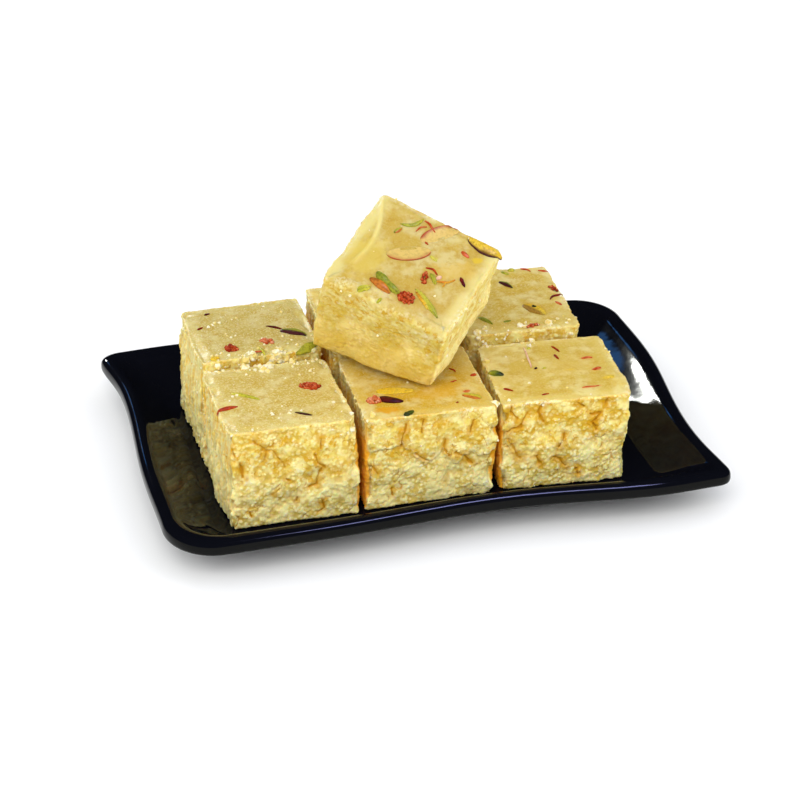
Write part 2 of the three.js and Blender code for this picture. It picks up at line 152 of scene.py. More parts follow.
# Cracks in the front faces: places across and up the face, and how wide the crack opens.
FRONT_CRACKS = {
    "block_front_left": [
        ([(-12.4, 31.7), (-10.3, 29.8), (-8.3, 27.4), (-8.8, 23.7)], 1.0),
        ([(-8.3, 27.4), (-6.2, 27.2), (-4.2, 23.7), (-2.2, 20.2)], 0.8),
        ([(7.5, 23.8), (8.0, 21.0), (10.4, 18.6)], 0.6),
        ([(9.3, 18.4), (8.4, 15.7), (7.5, 12.6), (5.3, 12.0)], 0.7),
        ([(9.5, 29.1), (9.3, 26.3)], 0.7),
        ([(-19.6, 30.5), (-18.1, 26.7)], 0.6),
        ([(-16.8, 24.2), (-16.2, 18.9)], 0.8),
        ([(-2.3, 16.3), (-0.9, 15.2)], 0.7),
        ([(-14.2, 5.7), (-13.6, 4.0)], 0.7),
        ([(9.2, 6.7), (9.5, 4.2), (7.7, 2.9)], 0.7),
        ([(1.4, 8.8), (1.2, 7.6)], 0.6),
        ([(-6.3, 11.7), (-4.2, 12.9)], 0.5),
    ],
    "block_front_middle": [
        ([(-8.0, 30.0), (-9.2, 26.5), (-9.6, 22.0)], 0.9),
        ([(-5.0, 18.8), (-2.6, 17.0), (-0.6, 15.4)], 0.8),
        ([(5.2, 22.4), (4.6, 19.4), (6.4, 16.6)], 0.9),
        ([(8.6, 17.2), (11.4, 15.4), (14.2, 12.4)], 1.1),
        ([(14.0, 28.6), (13.2, 25.0)], 0.7),
        ([(-19.0, 15.6), (-17.6, 13.0)], 0.8),
        ([(-2.2, 31.0), (-3.0, 26.6)], 0.5),
        ([(-13.0, 6.6), (-12.0, 4.2)], 0.6),
    ],
    "block_front_right": [
        ([(-18.5, 31.6), (-18.7, 29.6), (-16.3, 26.5)], 0.9),
        ([(-13.0, 28.0), (-14.3, 26.2), (-14.9, 23.1), (-18.0, 22.7), (-19.6, 21.8)], 1.0),
        ([(-7.6, 31.6), (-8.3, 30.0), (-9.1, 28.5), (-7.8, 24.5)], 1.1),
        ([(3.5, 31.0), (5.5, 28.8)], 0.6),
        ([(13.3, 31.0), (13.2, 28.6)], 0.8),
        ([(7.8, 26.1), (11.3, 25.8), (8.6, 22.8), (10.3, 19.8)], 0.9),
        ([(-0.2, 19.1), (-2.0, 15.0)], 0.9),
        ([(-19.1, 18.9), (-17.2, 15.1), (-14.9, 11.6)], 1.3),
        ([(-9.5, 12.5), (-8.2, 9.5)], 1.0),
        ([(-3.8, 11.2), (-1.5, 9.8), (0.2, 7.1)], 1.0),
        ([(4.1, 6.0), (4.8, 4.1)], 0.9),
    ],
}

CRACK_SHARE = 0.60  # how wide a crack's middle is of its whole width
CRACK_DEPTH = 0.6

# Where the front faces' denser upper slab breaks off: places across and up the face.
FRONT_LEDGES = {
    "block_front_middle": [
        (-21.5, 21.0), (-15.6, 22.7), (-9.0, 22.9), (-5.4, 18.3), (-1.8, 15.6), (1.9, 16.9),
        (4.2, 19.9), (4.9, 15.7), (8.5, 13.3), (10.8, 16.0), (13.1, 17.9), (16.2, 16.0), (21.5, 16.6)],
}
LEDGE_DEPTH = 0.8

# ---------------------------------------------------------------- repeatable unevenness


def lattice_value(i, j, k, seed):
    """A value from 0 to 1 for points of a whole-number lattice, the same every time."""
    h = (i.astype(np.int64) * 0x9E3779B1 + j.astype(np.int64) * 0x85EBCA77
         + k.astype(np.int64) * 0xC2B2AE3D + seed * 0x27D4EB2F)
    h = (h & 0xFFFFFFFF).astype(np.uint64)
    h = ((h ^ (h >> np.uint64(15))) * np.uint64(0x2C1B3C6D)) & np.uint64(0xFFFFFFFF)
    h = ((h ^ (h >> np.uint64(12))) * np.uint64(0x297A2D39)) & np.uint64(0xFFFFFFFF)
    return (h ^ (h >> np.uint64(15))).astype(float) / 4294967296.0


def noise(points, length, seed):
    """Smooth noise from 0 to 1, with features of about that length."""
    p = points / length
    cell = np.floor(p).astype(np.int64)
    part = p - cell
    part = part * part * (3 - 2 * part)
    total = np.zeros(len(p))
    for corner in range(8):
        step = np.array([corner & 1, (corner >> 1) & 1, (corner >> 2) & 1])
        weight = np.prod(np.where(step, part, 1 - part), axis=1)
        total += weight * lattice_value(*(cell + step).T, seed)
    return total


def smooth(low, high, value):
    t = np.clip((value - low) / (high - low), 0, 1)
    return t * t * (3 - 2 * t)


# ---------------------------------------------------------------- meshes


def add_mesh(name, verts, faces, shade_smooth=True):
    """A mesh object at the origin, made from places in millimetres."""
    mesh = bpy.data.meshes.new(name)
    mesh.from_pydata((np.asarray(verts) * MM).tolist(), [], faces)
    mesh.update()
    mesh.polygons.foreach_set("use_smooth", [shade_smooth] * len(mesh.polygons))
    piece = bpy.data.objects.new(name, mesh)
    bpy.context.scene.collection.objects.link(piece)
    return piece


def add_value(piece, name, values):
    attribute = piece.data.attributes.new(name, "FLOAT", "POINT")
    attribute.data.foreach_set("value", np.asarray(values, np.float32))


def places_of(piece):
    """The piece's places in millimetres."""
    places = np.empty(len(piece.data.vertices) * 3)
    piece.data.vertices.foreach_get("co", places)
    return places.reshape(-1, 3) / MM


def values_of(piece, name):
    values = np.empty(len(piece.data.vertices))
    piece.data.attributes[name].data.foreach_get("value", values)
    return values


def add_colour(piece, name, colours):
    attribute = piece.data.attributes.new(name, "FLOAT_COLOR", "POINT")
    attribute.data.foreach_set("color", np.asarray(colours, np.float32).ravel())


def outline(half_x, half_y, radii, steps_x, steps_y):
    """Places round a rectangle with rounded corners, counter-clockwise from the middle of the back
    right corner, and the way out at each."""
    signs = [(1, 1), (-1, 1), (-1, -1), (1, -1)]
    places, outs = [], []
    for side in range(4):
        r0, r1 = radii[side], radii[(side + 1) % 4]
        c0 = np.array(signs[side]) * (half_x - r0, half_y - r0)
        c1 = np.array(signs[(side + 1) % 4]) * (half_x - r1, half_y - r1)
        square_on = (side + 1) * math.pi / 2
        way = np.array([math.cos(square_on), math.sin(square_on)])
        start, end = c0 + r0 * way, c1 + r1 * way
        arc0, arc1 = r0 * math.pi / 4, r1 * math.pi / 4
        straight = np.linalg.norm(end - start)
        steps = steps_x if side % 2 == 0 else steps_y
        along = np.arange(steps) / steps * (arc0 + straight + arc1)
        past = np.clip(along - arc0, 0, straight)
        angle = (square_on - np.clip(arc0 - along, 0, None) / r0
                 + np.clip(along - arc0 - straight, 0, None) / r1)
        out = np.stack([np.cos(angle), np.sin(angle)], 1)
        middle = (along >= arc0) & (along <= arc0 + straight)
        place = np.where((along < arc0)[:, None], c0 + r0 * out, c1 + r1 * out)
        place[middle] = start + (end - start) * (past[middle] / straight)[:, None]
        places.append(place)
        outs.append(out)
    return np.concatenate(places), np.concatenate(outs)


def ring_faces(count, first, second):
    """Quads between two rings that start at those indices."""
    i = np.arange(count)
    j = (i + 1) % count
    return np.stack([first + i, first + j, second + j, second + i], 1).tolist()


def tube(rings):
    """A closed skin through rings of equal length."""
    count = len(rings[0])
    verts = np.vstack(rings + [rings[0].mean(0)[None], rings[-1].mean(0)[None]])
    faces = []
    for r in range(len(rings) - 1):
        faces += ring_faces(count, r * count, (r + 1) * count)
    last = (len(rings) - 1) * count
    for i in range(count):
        j = (i + 1) % count
        faces.append((j, i, len(verts) - 2))
        faces.append((last + i, last + j, len(verts) - 1))
    return verts, faces


# ---------------------------------------------------------------- node trees


def put(tree, kind, sockets=None, **settings):
    """A node of that kind, with settings, and with sockets set or linked."""
    made = tree.nodes.new(kind)
    for key, value in settings.items():
        setattr(made, key, value)
    for key, value in (sockets or {}).items():
        if isinstance(value, bpy.types.NodeSocket):
            tree.links.new(value, made.inputs[key])
        else:
            made.inputs[key].default_value = value
    return made


def work_out(tree, operation, a, b):
    return put(tree, "ShaderNodeMath", {0: a, 1: b}, operation=operation).outputs[0]


def times(tree, *values):
    total = values[0]
    for value in values[1:]:
        total = work_out(tree, "MULTIPLY", total, value)
    return total


def plus(tree, *values):
    total = values[0]
    for value in values[1:]:
        total = work_out(tree, "ADD", total, value)
    return total


def vector(tree, operation, first, second):
    slot = "Scale" if operation == "SCALE" else 1
    return put(tree, "ShaderNodeVectorMath", {0: first, slot: second},
               operation=operation).outputs[0]


def remap(tree, value, low, high, to_low=0.0, to_high=1.0):
    """value from low..high to to_low..to_high, with soft ends."""
    return put(tree, "ShaderNodeMapRange",
               {"Value": value, "From Min": low, "From Max": high, "To Min": to_low,
                "To Max": to_high}, interpolation_type="SMOOTHSTEP").outputs["Result"]


def blend(tree, share, first, second):
    """A colour between two others."""
    mixed = put(tree, "ShaderNodeMix", {0: share, 6: first, 7: second}, data_type="RGBA")
    return mixed.outputs[2]


def linear(red, green, blue):
    """A colour on the screen's 0 to 255 scale as light."""
    def one(c):
        c = c / 255
        return c / 12.92 if c <= 0.04045 else ((c + 0.055) / 1.055) ** 2.4
    return (one(red), one(green), one(blue), 1.0)


# ---------------------------------------------------------------- materials


def new_material(name):
    made = bpy.data.materials.new(name)
    made.use_nodes = True
    made.node_tree.nodes.clear()
    return made, made.node_tree


def finish_material(tree, sockets):
    shader = put(tree, "ShaderNodeBsdfPrincipled", sockets)
    put(tree, "ShaderNodeOutputMaterial", {"Surface": shader.outputs[0]})
    return shader


def grain_noise(tree, place, length, detail=3.0, roughness=0.55):
    """Noise on the piece's own places, with features of about that length in millimetres."""
    return put(tree, "ShaderNodeTexNoise",
               {"Vector": place, "Scale": 1 / (length * MM), "Detail": detail,
                "Roughness": roughness}).outputs["Fac"]


def attribute(tree, name):
    return put(tree, "ShaderNodeAttribute", attribute_name=name)


def stirred(tree, place, length, reach):
    """Places moved a little at random, so that the cells laid on them lose their straight sides."""
    stir = put(tree, "ShaderNodeTexNoise", {"Vector": place, "Scale": 1 / (length * MM), "Detail": 2.0})
    centred = vector(tree, "SUBTRACT", stir.outputs["Color"], (0.5, 0.5, 0.5))
    return vector(tree, "ADD", place, vector(tree, "SCALE", centred, reach * MM))


class CurdPaint:
    """What the curd's colours are mixed from: noise on the piece's places, and its attributes."""

    def __init__(self, tree):
        self.tree = tree
        self.place = put(tree, "ShaderNodeTexCoord").outputs["Object"]

    def read(self, name):
        return attribute(self.tree, name).outputs["Fac"]

    def patches(self, length, low, high, to_low=0.0, to_high=1.0, detail=3.0, roughness=0.55):
        """Noise of that length in millimetres, with its low..high spread over to_low..to_high."""
        found = grain_noise(self.tree, self.place, length, detail, roughness)
        return remap(self.tree, found, low, high, to_low, to_high)

    def over(self, colour, share, above):
        return blend(self.tree, share, colour, linear(*above))


def side_colour(paint, cells):
    """Cream, lemon and honey patches, with ochre painted shade in the hollows, painted shade in the
    seams between grains, and pale painted highlights in their middles.
    """
    tree, read, over, patches = paint.tree, paint.read, paint.over, paint.patches
    hollow, low = read("hollow"), read("grainy")
    side = over(linear(*SIDE_CREAM), patches(3.6, 0.42, 0.60, detail=4.0), SIDE_LEMON)
    side = over(side, patches(2.6, 0.52, 0.64, 0.0, 0.9, 4.0, 0.65), SIDE_HONEY)
    # Paler low on the sides: the curd's pale grains there, and painted light that makes the lower sides
    # as bright as the upper ones.
    side = over(side, times(tree, low, 0.75), LOW_PALE_AND_PAINTED_LIGHT)
    # Painted shade: ochre in the relief's hollows, less of it low down.
    side = over(side, times(tree, remap(tree, hollow, 0.50, 0.85, 0.0, 0.7),
                            remap(tree, low, 0.0, 1.0, 1.0, 0.6)), OCHRE_PAINTED_SHADE)
    # Painted highlight: paler where the relief stands out.
    side = over(side, remap(tree, hollow, 0.38, 0.10, 0.0, 0.7), PAINTED_HIGHLIGHT_PALE)
    # Painted shade: darker seams along the edges of the grains, olive low down.
    crease_shade_share = times(tree, read("rough"), patches(5.0, 0.40, 0.62, 0.1, 1.0, 2.0))
    painted_crease_shade = times(tree, remap(tree, cells, 0.30, 0.62), crease_shade_share, 0.75)
    side = blend(tree, painted_crease_shade, side,
                 blend(tree, low, linear(*CREASE_PAINTED_SHADE), linear(*LOW_CREASE_PAINTED_SHADE)))
    # Painted highlight: paler in the middles of the grains.
    painted_grain_highlight = times(tree, read("rough"), remap(tree, cells, 0.28, 0.08, 0.0, 0.6),
                   patches(2.4, 0.44, 0.60, 0.12, 1.0, 2.0))
    side = over(side, painted_grain_highlight, PAINTED_HIGHLIGHT_PALE)
    # Painted shade: an ochre band round the front cracks.
    side = over(side, times(tree, read("ochre"), 0.7), OCHRE_PAINTED_SHADE)
    # Painted shade and bounce light: orange on sides that face a neighbouring square, below the top
    # edge.
    side = over(side, times(tree, read("between"), 0.85), PAINTED_GAP_SHADE)
    side = over(side, read("warm"), WARM_GOLD)
    long_place = put(tree, "ShaderNodeMapping", {"Vector": paint.place, "Scale": (1.0, 1.0, 0.2)})
    streaks = grain_noise(tree, long_place.outputs[0], 1.6, 3.0)
    streaks = times(tree, read("ridged"), remap(tree, streaks, 0.40, 0.62, 0.15, 0.85))
    return over(side, streaks, SIDE_GREY)


def top_colour(paint):
    """A denser tan or golden skin, paler in patches, with pale grains and painted glints where the top
    sparkles.
    """
    tree, read, over, patches = paint.tree, paint.read, paint.over, paint.patches
    tan = blend(tree, read("golden"), linear(*TOP_TAN), linear(*TOP_GOLD))
    tan = over(tan, patches(7.0, 0.44, 0.66, 0.0, 0.7), TOP_PALE)
    tan = over(tan, patches(2.6, 0.50, 0.66, 0.0, 0.5), TOP_HONEY)
    # Pale grains of the skin, and painted glints where the top sparkles.
    grit_and_glints = times(tree, patches(0.7, 0.50, 0.62, roughness=0.6),
                 remap(tree, read("sparkle"), 0.0, 0.6, 0.15, 0.8))
    return over(over(tan, grit_and_glints, TOP_PALE), read("rim"), RIM_PALE)


def loose_colour(paint, colour):
    """The same colour with ochre painted shade in its cracks, chalky worn edges, painted glints and the
    tops' stains.
    """
    tree, read, over, patches = paint.tree, paint.read, paint.over, paint.patches
    # Painted shade: darker ochre in the cracks and crevices.
    colour = over(colour, remap(tree, read("crack"), 0.2, 0.9, 0.0, 0.9), CRACK_PAINTED_SHADE)
    colour = over(colour, times(tree, read("chalk"), patches(1.0, 0.40, 0.58, detail=2.0)), CHALK)
    # Painted glints: bright flecks where the sparkle is high.
    near = plus(tree, grain_noise(tree, paint.place, 2.2, 2.0), read("sparkle"))
    painted_glints = times(tree, patches(0.55, 0.60, 0.68, 0.0, 0.9, roughness=0.6),
                   remap(tree, near, 0.70, 1.15))
    colour = over(colour, painted_glints, PAINTED_GLINT)
    stain = attribute(tree, "stain")
    return blend(tree, stain.outputs["Alpha"], colour, stain.outputs["Color"])


def curd_material():
    """Moist grainy curd: cream and lemon patches, ochre painted shade in its hollows and cracks, painted
    highlights and glints, a denser tan top.
    """
    made, tree = new_material("milk_curd")
    paint = CurdPaint(tree)
    ragged = plus(tree, paint.read("top"), paint.patches(1.3, 0.3, 0.7, -0.28, 0.28, 3.0, 0.6))
    top = remap(tree, ragged, 0.30, 0.72)
    cells = put(tree, "ShaderNodeTexVoronoi",
                {"Vector": stirred(tree, paint.place, 1.6, 0.8), "Scale": 1 / (1.25 * MM),
                 "Smoothness": 0.5}, feature="SMOOTH_F1").outputs["Distance"]
    colour = blend(tree, top, side_colour(paint, cells), top_colour(paint))
    colour = vector(tree, "MULTIPLY", loose_colour(paint, colour), LEMON_CAST)
    colour = vector(tree, "SCALE", colour, paint.read("tone"))

    fine = grain_noise(tree, paint.place, 0.45, 3.0, 0.6)
    coarse = grain_noise(tree, paint.place, 1.4, 3.0, 0.6)
    height = work_out(tree, "SUBTRACT", plus(tree, times(tree, fine, 0.35), coarse),
                      times(tree, cells, 0.9))
    depth = remap(tree, top, 0.0, 1.0, 0.55, 0.12)
    bump = put(tree, "ShaderNodeBump", {"Strength": depth, "Distance": 0.4 * MM, "Height": height})
    finish_material(tree, {
        "Base Color": colour,
        "Roughness": remap(tree, top, 0.0, 1.0, 0.55, 0.45),
        "Specular IOR Level": 0.18,
        "Subsurface Weight": 0.45,
        "Subsurface Radius": (1.0, 0.65, 0.2),
        "Subsurface Scale": 1.5 * MM,
        "Normal": bump.outputs["Normal"],
    })
    return made


def plate_material():
    """Deep glossy black melamine with a faint unevenness and fine wear."""
    made, tree = new_material("black_melamine")
    place = put(tree, "ShaderNodeTexCoord").outputs["Object"]
    haze = grain_noise(tree, place, 26.0, 4.0)
    ripple = grain_noise(tree, place, 9.0, 2.0)
    pits = grain_noise(tree, place, 0.8, 2.0)
    height = plus(tree, ripple, times(tree, pits, 0.004))
    bump = put(tree, "ShaderNodeBump", {"Strength": 0.5, "Distance": 0.12 * MM, "Height": height})
    finish_material(tree, {
        "Base Color": blend(tree, haze, linear(7, 8, 12), linear(11, 12, 20)),
        "Roughness": remap(tree, haze, 0.3, 0.7, 0.04, 0.09),
        "IOR": 1.20,
        "Specular Tint": (1.0, 0.97, 0.60, 1.0),
        "Normal": bump.outputs["Normal"],
    })
    return made


# Colours on the screen's scale.
SIDE_CREAM = (242, 227, 158)
SIDE_LEMON = (233, 208, 112)
SIDE_HONEY = (216, 164, 34)
# Ochre painted shade, for hollows and round cracks.
OCHRE_PAINTED_SHADE = (206, 150, 14)
# Painted shade in the seams between grains, above and low down.
CREASE_PAINTED_SHADE = (208, 160, 24)
LOW_CREASE_PAINTED_SHADE = (200, 168, 52)
# Pale painted highlight on the sides.
PAINTED_HIGHLIGHT_PALE = (250, 241, 216)
# Pale grains low on the sides, partly painted light.
LOW_PALE_AND_PAINTED_LIGHT = (250, 232, 172)
SIDE_GREY = (210, 201, 148)
# Painted shade and bounce light in the gaps between squares.
PAINTED_GAP_SHADE = (240, 164, 20)
WARM_GOLD = (222, 182, 50)
RIM_PALE = (242, 223, 146)
# Painted shade in cracks and crevices.
CRACK_PAINTED_SHADE = (194, 134, 4)
TOP_TAN = (208, 178, 86)
TOP_GOLD = (212, 168, 40)
TOP_PALE = (232, 214, 154)
TOP_HONEY = (196, 152, 34)
CHALK = (246, 238, 206)
# Painted glints.
PAINTED_GLINT = (250, 244, 222)
LEMON_CAST = (0.94, 0.965, 0.89)  # how much of each light the curd keeps

# ---------------------------------------------------------------- the plate


def swing_at(swings, along, side):
    slow, quick, apart, apart_slow = swings
    turn = along * math.pi
    together = slow * np.sin(turn) + quick * np.sin(2 * turn)
    return together + side * (apart * np.cos(turn) + apart_slow * np.sin(turn))


def plate_ring(inset, height):
    share = min(inset / FLOOR_INSET, 1)
    radii = [rim + (floor - rim) * share for rim, floor in zip(RIM_RADII, FLOOR_RADII)]
    half_x, half_y = PLATE_HALF_LENGTH - inset, PLATE_HALF_WIDTH - inset
    place, _ = outline(half_x, half_y, radii, 150, 110)
    swing = 1 + (FLOOR_WAVE_SHARE - 1) * share
    u, v = place[:, 0] / half_x, place[:, 1] / half_y
    x, y = swing_at(SHORT_SIDES, v, u), swing_at(LONG_SIDES, u, v)
    for side, pull in TIPS:
        away = np.hypot(place[:, 0] - side * half_x, place[:, 1] + side * half_y) / TIP_REACH
        x, y = x + pull[0] * np.exp(-away ** 2), y + pull[1] * np.exp(-away ** 2)
    return np.column_stack([PLATE_MIDDLE[0] + place[:, 0] + swing * x,
                            PLATE_MIDDLE[1] + place[:, 1] + swing * y,
                            np.full(len(place), height)])


def plate_section():
    """Inset and height from the middle of the underside, round the lip and in over the floor."""
    rise, run = LIP_HEIGHT - FLOOR_HEIGHT, FLOOR_INSET - LIP_WIDTH
    under = WALL_THICKNESS * math.hypot(rise, run) / run
    foot, ridge = FLOOR_INSET + 0.5, LIP_HEIGHT - LIP_FALL
    high = (FLOOR_INSET - run * 0.72, FLOOR_HEIGHT + rise * 0.72)
    low = (FLOOR_INSET - run * 0.3, FLOOR_HEIGHT + rise * 0.3)
    return np.array([
        (foot + FOOT_WIDTH + 14, FOOT_RECESS), (foot + FOOT_WIDTH + 1.2, FOOT_RECESS),
        (foot + FOOT_WIDTH, 0), (foot, 0), (foot - 1.0, 0.9), (low[0], low[1] - under),
        (high[0], high[1] - under), (1.6, ridge - BAND_HEIGHT - 0.5), (0.5, ridge - BAND_HEIGHT),
        (0, ridge - BAND_HEIGHT + 0.7), (0, ridge - 1.7), (0.3, ridge - 0.5), (1.3, ridge + 0.2),
        (LIP_WIDTH * 0.6, LIP_HEIGHT - 0.1), (LIP_WIDTH, LIP_HEIGHT),
        (LIP_WIDTH + 1.6, LIP_HEIGHT - 0.8), high, low, (FLOOR_INSET - 0.9, FLOOR_HEIGHT + 0.5),
        (FLOOR_INSET + 1.2, FLOOR_HEIGHT), (FLOOR_INSET + 14, FLOOR_HEIGHT),
    ])


def softened(points, rounds=3):
    """The same line with its corners cut and cut again."""
    for _ in range(rounds):
        early, late = points[:-1], points[1:]
        cut = np.empty((2 * len(early), 2))
        cut[0::2], cut[1::2] = early * 0.75 + late * 0.25, early * 0.25 + late * 0.75
        points = np.vstack([points[:1], cut, points[-1:]])
    return points


def make_plate():
    verts, faces = tube([plate_ring(*point) for point in softened(plate_section(), 2)])
    piece = add_mesh("melamine_plate", verts, faces)
    piece.data.materials.append(plate_material())
    return piece


# ---------------------------------------------------------------- the squares of curd


def fold_line(forward, square):
    """How far to the side the fold in the leaning square's top skin lies."""
    return (square["fold"][0] * np.sin(math.pi * np.clip(forward / 1.1, 0, 1))
            - square["size"][0] / 2)


def bent(point, square):
    """The leaning square's uneven form, or the broken piece's sloping top."""
    if "drop" in square:
        width, depth, height = square["size"]
        left = np.clip(0.5 - point[:, 0] / width, 0, 1)
        rise = np.clip(point[:, 2] / height, 0, 1)
        forward = np.clip(0.5 - point[:, 1] / depth, 0, 1)
        point[:, 2] -= square["drop"] * left * (1 - rise)
        point[:, 0] -= square["bulge"] * left * np.sin(math.pi * rise)
        bevel, fall = square["bevel"]
        ridge = bevel * np.sqrt(forward) - width / 2
        slope = np.clip((ridge - point[:, 0]) / bevel, 0, 1)
        off_fold = fold_line(forward, square) - point[:, 0]
        _, fold_height, fold_width = square["fold"]
        fold = fold_height * np.exp(-(off_fold / fold_width) ** 2) * smooth(0.85, 0.65, forward)
        point[:, 2] -= (fall * slope - fold) * rise ** 4
        point[:, 2] += square["corner_lift"] * (left * forward) ** 6 * (1 - rise)
    if "under" in square:
        point[:, 2] *= square["under"](point) / square["size"][2]
    return point


def place_matrix(square):
    at = square["at"] if len(square["at"]) == 3 else (*square["at"], square.get("stand", STAND))
    turn = Matrix.Rotation(math.radians(square["turn"]), 4, "Z")
    if "pitch" in square:
        turn = (turn @ Matrix.Rotation(math.radians(square["pitch"]), 4, "X")
                @ Matrix.Rotation(math.radians(square["roll"]), 4, "Y"))
    return np.array(Matrix.Translation(at) @ turn)


def to_frame(points, square):
    matrix = place_matrix(square)
    return points @ matrix[:3, :3].T + matrix[:3, 3]


def away_from_line(points, line):
    """Distance of points from a bent line, both in two dimensions."""
    nearest = np.full(len(points), 1e9)
    for start, end in zip(line[:-1], line[1:]):
        start, end = np.array(start), np.array(end)
        way = end - start
        share = np.clip((points - start) @ way / (way @ way), 0, 1)
        nearest = np.minimum(nearest, np.linalg.norm(points - start - share[:, None] * way, axis=1))
    return nearest


def crack_depths(rest, square, name):
    """From 0 to 1 for how deep in a crack of the front face each place of the skin lies, and for how
    much of the crack's ochre colour, painted shade, it takes."""
    seed = square["seed"]
    warp = np.column_stack([noise(rest, 2.2, seed + s) for s in (4, 5, 6)]) - 0.5
    on_front = smooth(2.5, 1.0, rest[:, 1] + square["size"][1] / 2)
    across = (rest + 0.9 * warp)[:, [0, 2]]
    depth, ochre = np.zeros(len(rest)), np.zeros(len(rest))
    patchy = 2.4 * (noise(rest, 1.5, seed + 18) - 0.5)
    for line, width in FRONT_CRACKS.get(name, []):
        ragged = CRACK_SHARE * width * (0.35 + 1.2 * noise(rest, 1.3, seed + 9))
        near = away_from_line(across, line)
        depth = np.maximum(depth, on_front * (1 - smooth(0.2, 1.3, near / ragged)))
        ochre = np.maximum(ochre, on_front * smooth(2.4 * width, 0.4, near + patchy))
    return depth, ochre


def ledge_depths(rest, square, name):
    """How far the front face falls back below its ragged ledge, and where the ledge's lip runs."""
    if name not in FRONT_LEDGES:
        return np.zeros(len(rest)), np.zeros(len(rest))
    line = np.array(FRONT_LEDGES[name])
    seed = square["seed"]
    ragged = 2.4 * (noise(rest * (1, 1, 0.3), 1.6, seed + 10) - 0.5)
    below = np.interp(rest[:, 0], line[:, 0], line[:, 1]) + ragged - rest[:, 2]
    on_front = smooth(3.0, 1.2, rest[:, 1] + square["size"][1] / 2)
    depth = on_front * LEDGE_DEPTH * smooth(-0.3, 1.0, below) * (1 - 0.85 * smooth(3, 13, below))
    return depth, on_front * smooth(1.1, 0.2, np.abs(below + 0.3))


def swell_at(points, square):
    """How far the square's swells push its skin outwards."""
    reach = np.zeros(len(points))
    for x, y, z, radius, out in square["swells"]:
        reach += out * np.exp(-(np.linalg.norm(points - (x, y, z), axis=1) / radius) ** 2)
    return reach


def toward_another(out, outer):
    """1 where a skin's way out points at a neighbouring square, else 0."""
    ways = [out[:, 0] < -0.6, out[:, 0] > 0.6, out[:, 1] > 0.6, out[:, 1] < -0.6]
    return np.select(ways, [float(side not in outer) for side in ("left", "right", "back", "front")],
                     0.0)


def cut_sides(square, form, steps, steps_up):
    """Rings up the cut sides and over the top's edge, and for each the way out and how much it belongs
    to the top."""
    width, depth, height = square["size"]
    seed = square["seed"]
    heights = [0.0, form["foot"] * 0.5]
    heights += np.linspace(form["foot"], height - 1.2 * form["front_top"], steps_up).tolist()
    bends = np.radians(np.linspace(0, 90, 7))[1:]
    sections = [(z, form["foot"] * (1 - math.sqrt(max(0.0, 1 - (1 - z / form["foot"]) ** 2)))
                 if z < form["foot"] else 0.0, 0.0, False) for z in heights]
    sections += [(height, 1 - math.cos(a), 1 - math.sin(a), True) for a in bends]
    rings, outs, tops = [], [], []
    for z, tuck, down, edge in sections:
        wider = 1 + square["widen"] * z / height
        place, out = outline(width / 2 * wider, depth / 2 * wider, [form["upright"]] * 4,
                             steps, steps)
        point = np.column_stack([place, np.full(len(place), z)])
        front = np.clip(-out[:, 1], 0, None) ** 2
        radius = form["top"] + (form["front_top"] - form["top"]) * front
        crag = COARSE_CRAG[0] * noise(point, COARSE_CRAG[1], seed)
        crag += FINE_CRAG[0] * noise(point, FINE_CRAG[1], seed + 1)
        near_top = smooth(height - 3.0, height, np.full(len(place), z))
        pushed = swell_at(point, square)
        corner = (smooth(0.84, 0.97, np.abs(place[:, 0]) * 2 / (width * wider))
                  * smooth(0.84, 0.97, np.abs(place[:, 1]) * 2 / (depth * wider)))
        crag *= 1 - 0.6 * toward_another(out, square["outer"])
        crag += corner * square["rough"] * CHIPPED_CORNER * (noise(point, 3.0, seed + 16) - 0.35)
        inward = crag * (1 - 0.4 * near_top) + (tuck * radius if edge else tuck) - pushed
        if edge:
            point[:, 2] -= down * radius
        on_edge = tuck if edge else 0
        worn = WORN_EDGE * square["worn"] * noise(point, FINE_CRAG[1], seed + 3) ** 2
        worn *= on_edge
        swell = TOP_SWELL[0] * noise(point, TOP_SWELL[1], seed + 2) * on_edge
        point[:, :2] -= out * inward[:, None]
        point[:, 2] += pushed * on_edge - worn - swell
        rings.append(point)
        outs.append(np.column_stack([out, np.zeros(len(out))]))
        tops.append(np.full(len(point), (1 - down) ** 2 if edge else 0.0))
    return rings, outs, tops


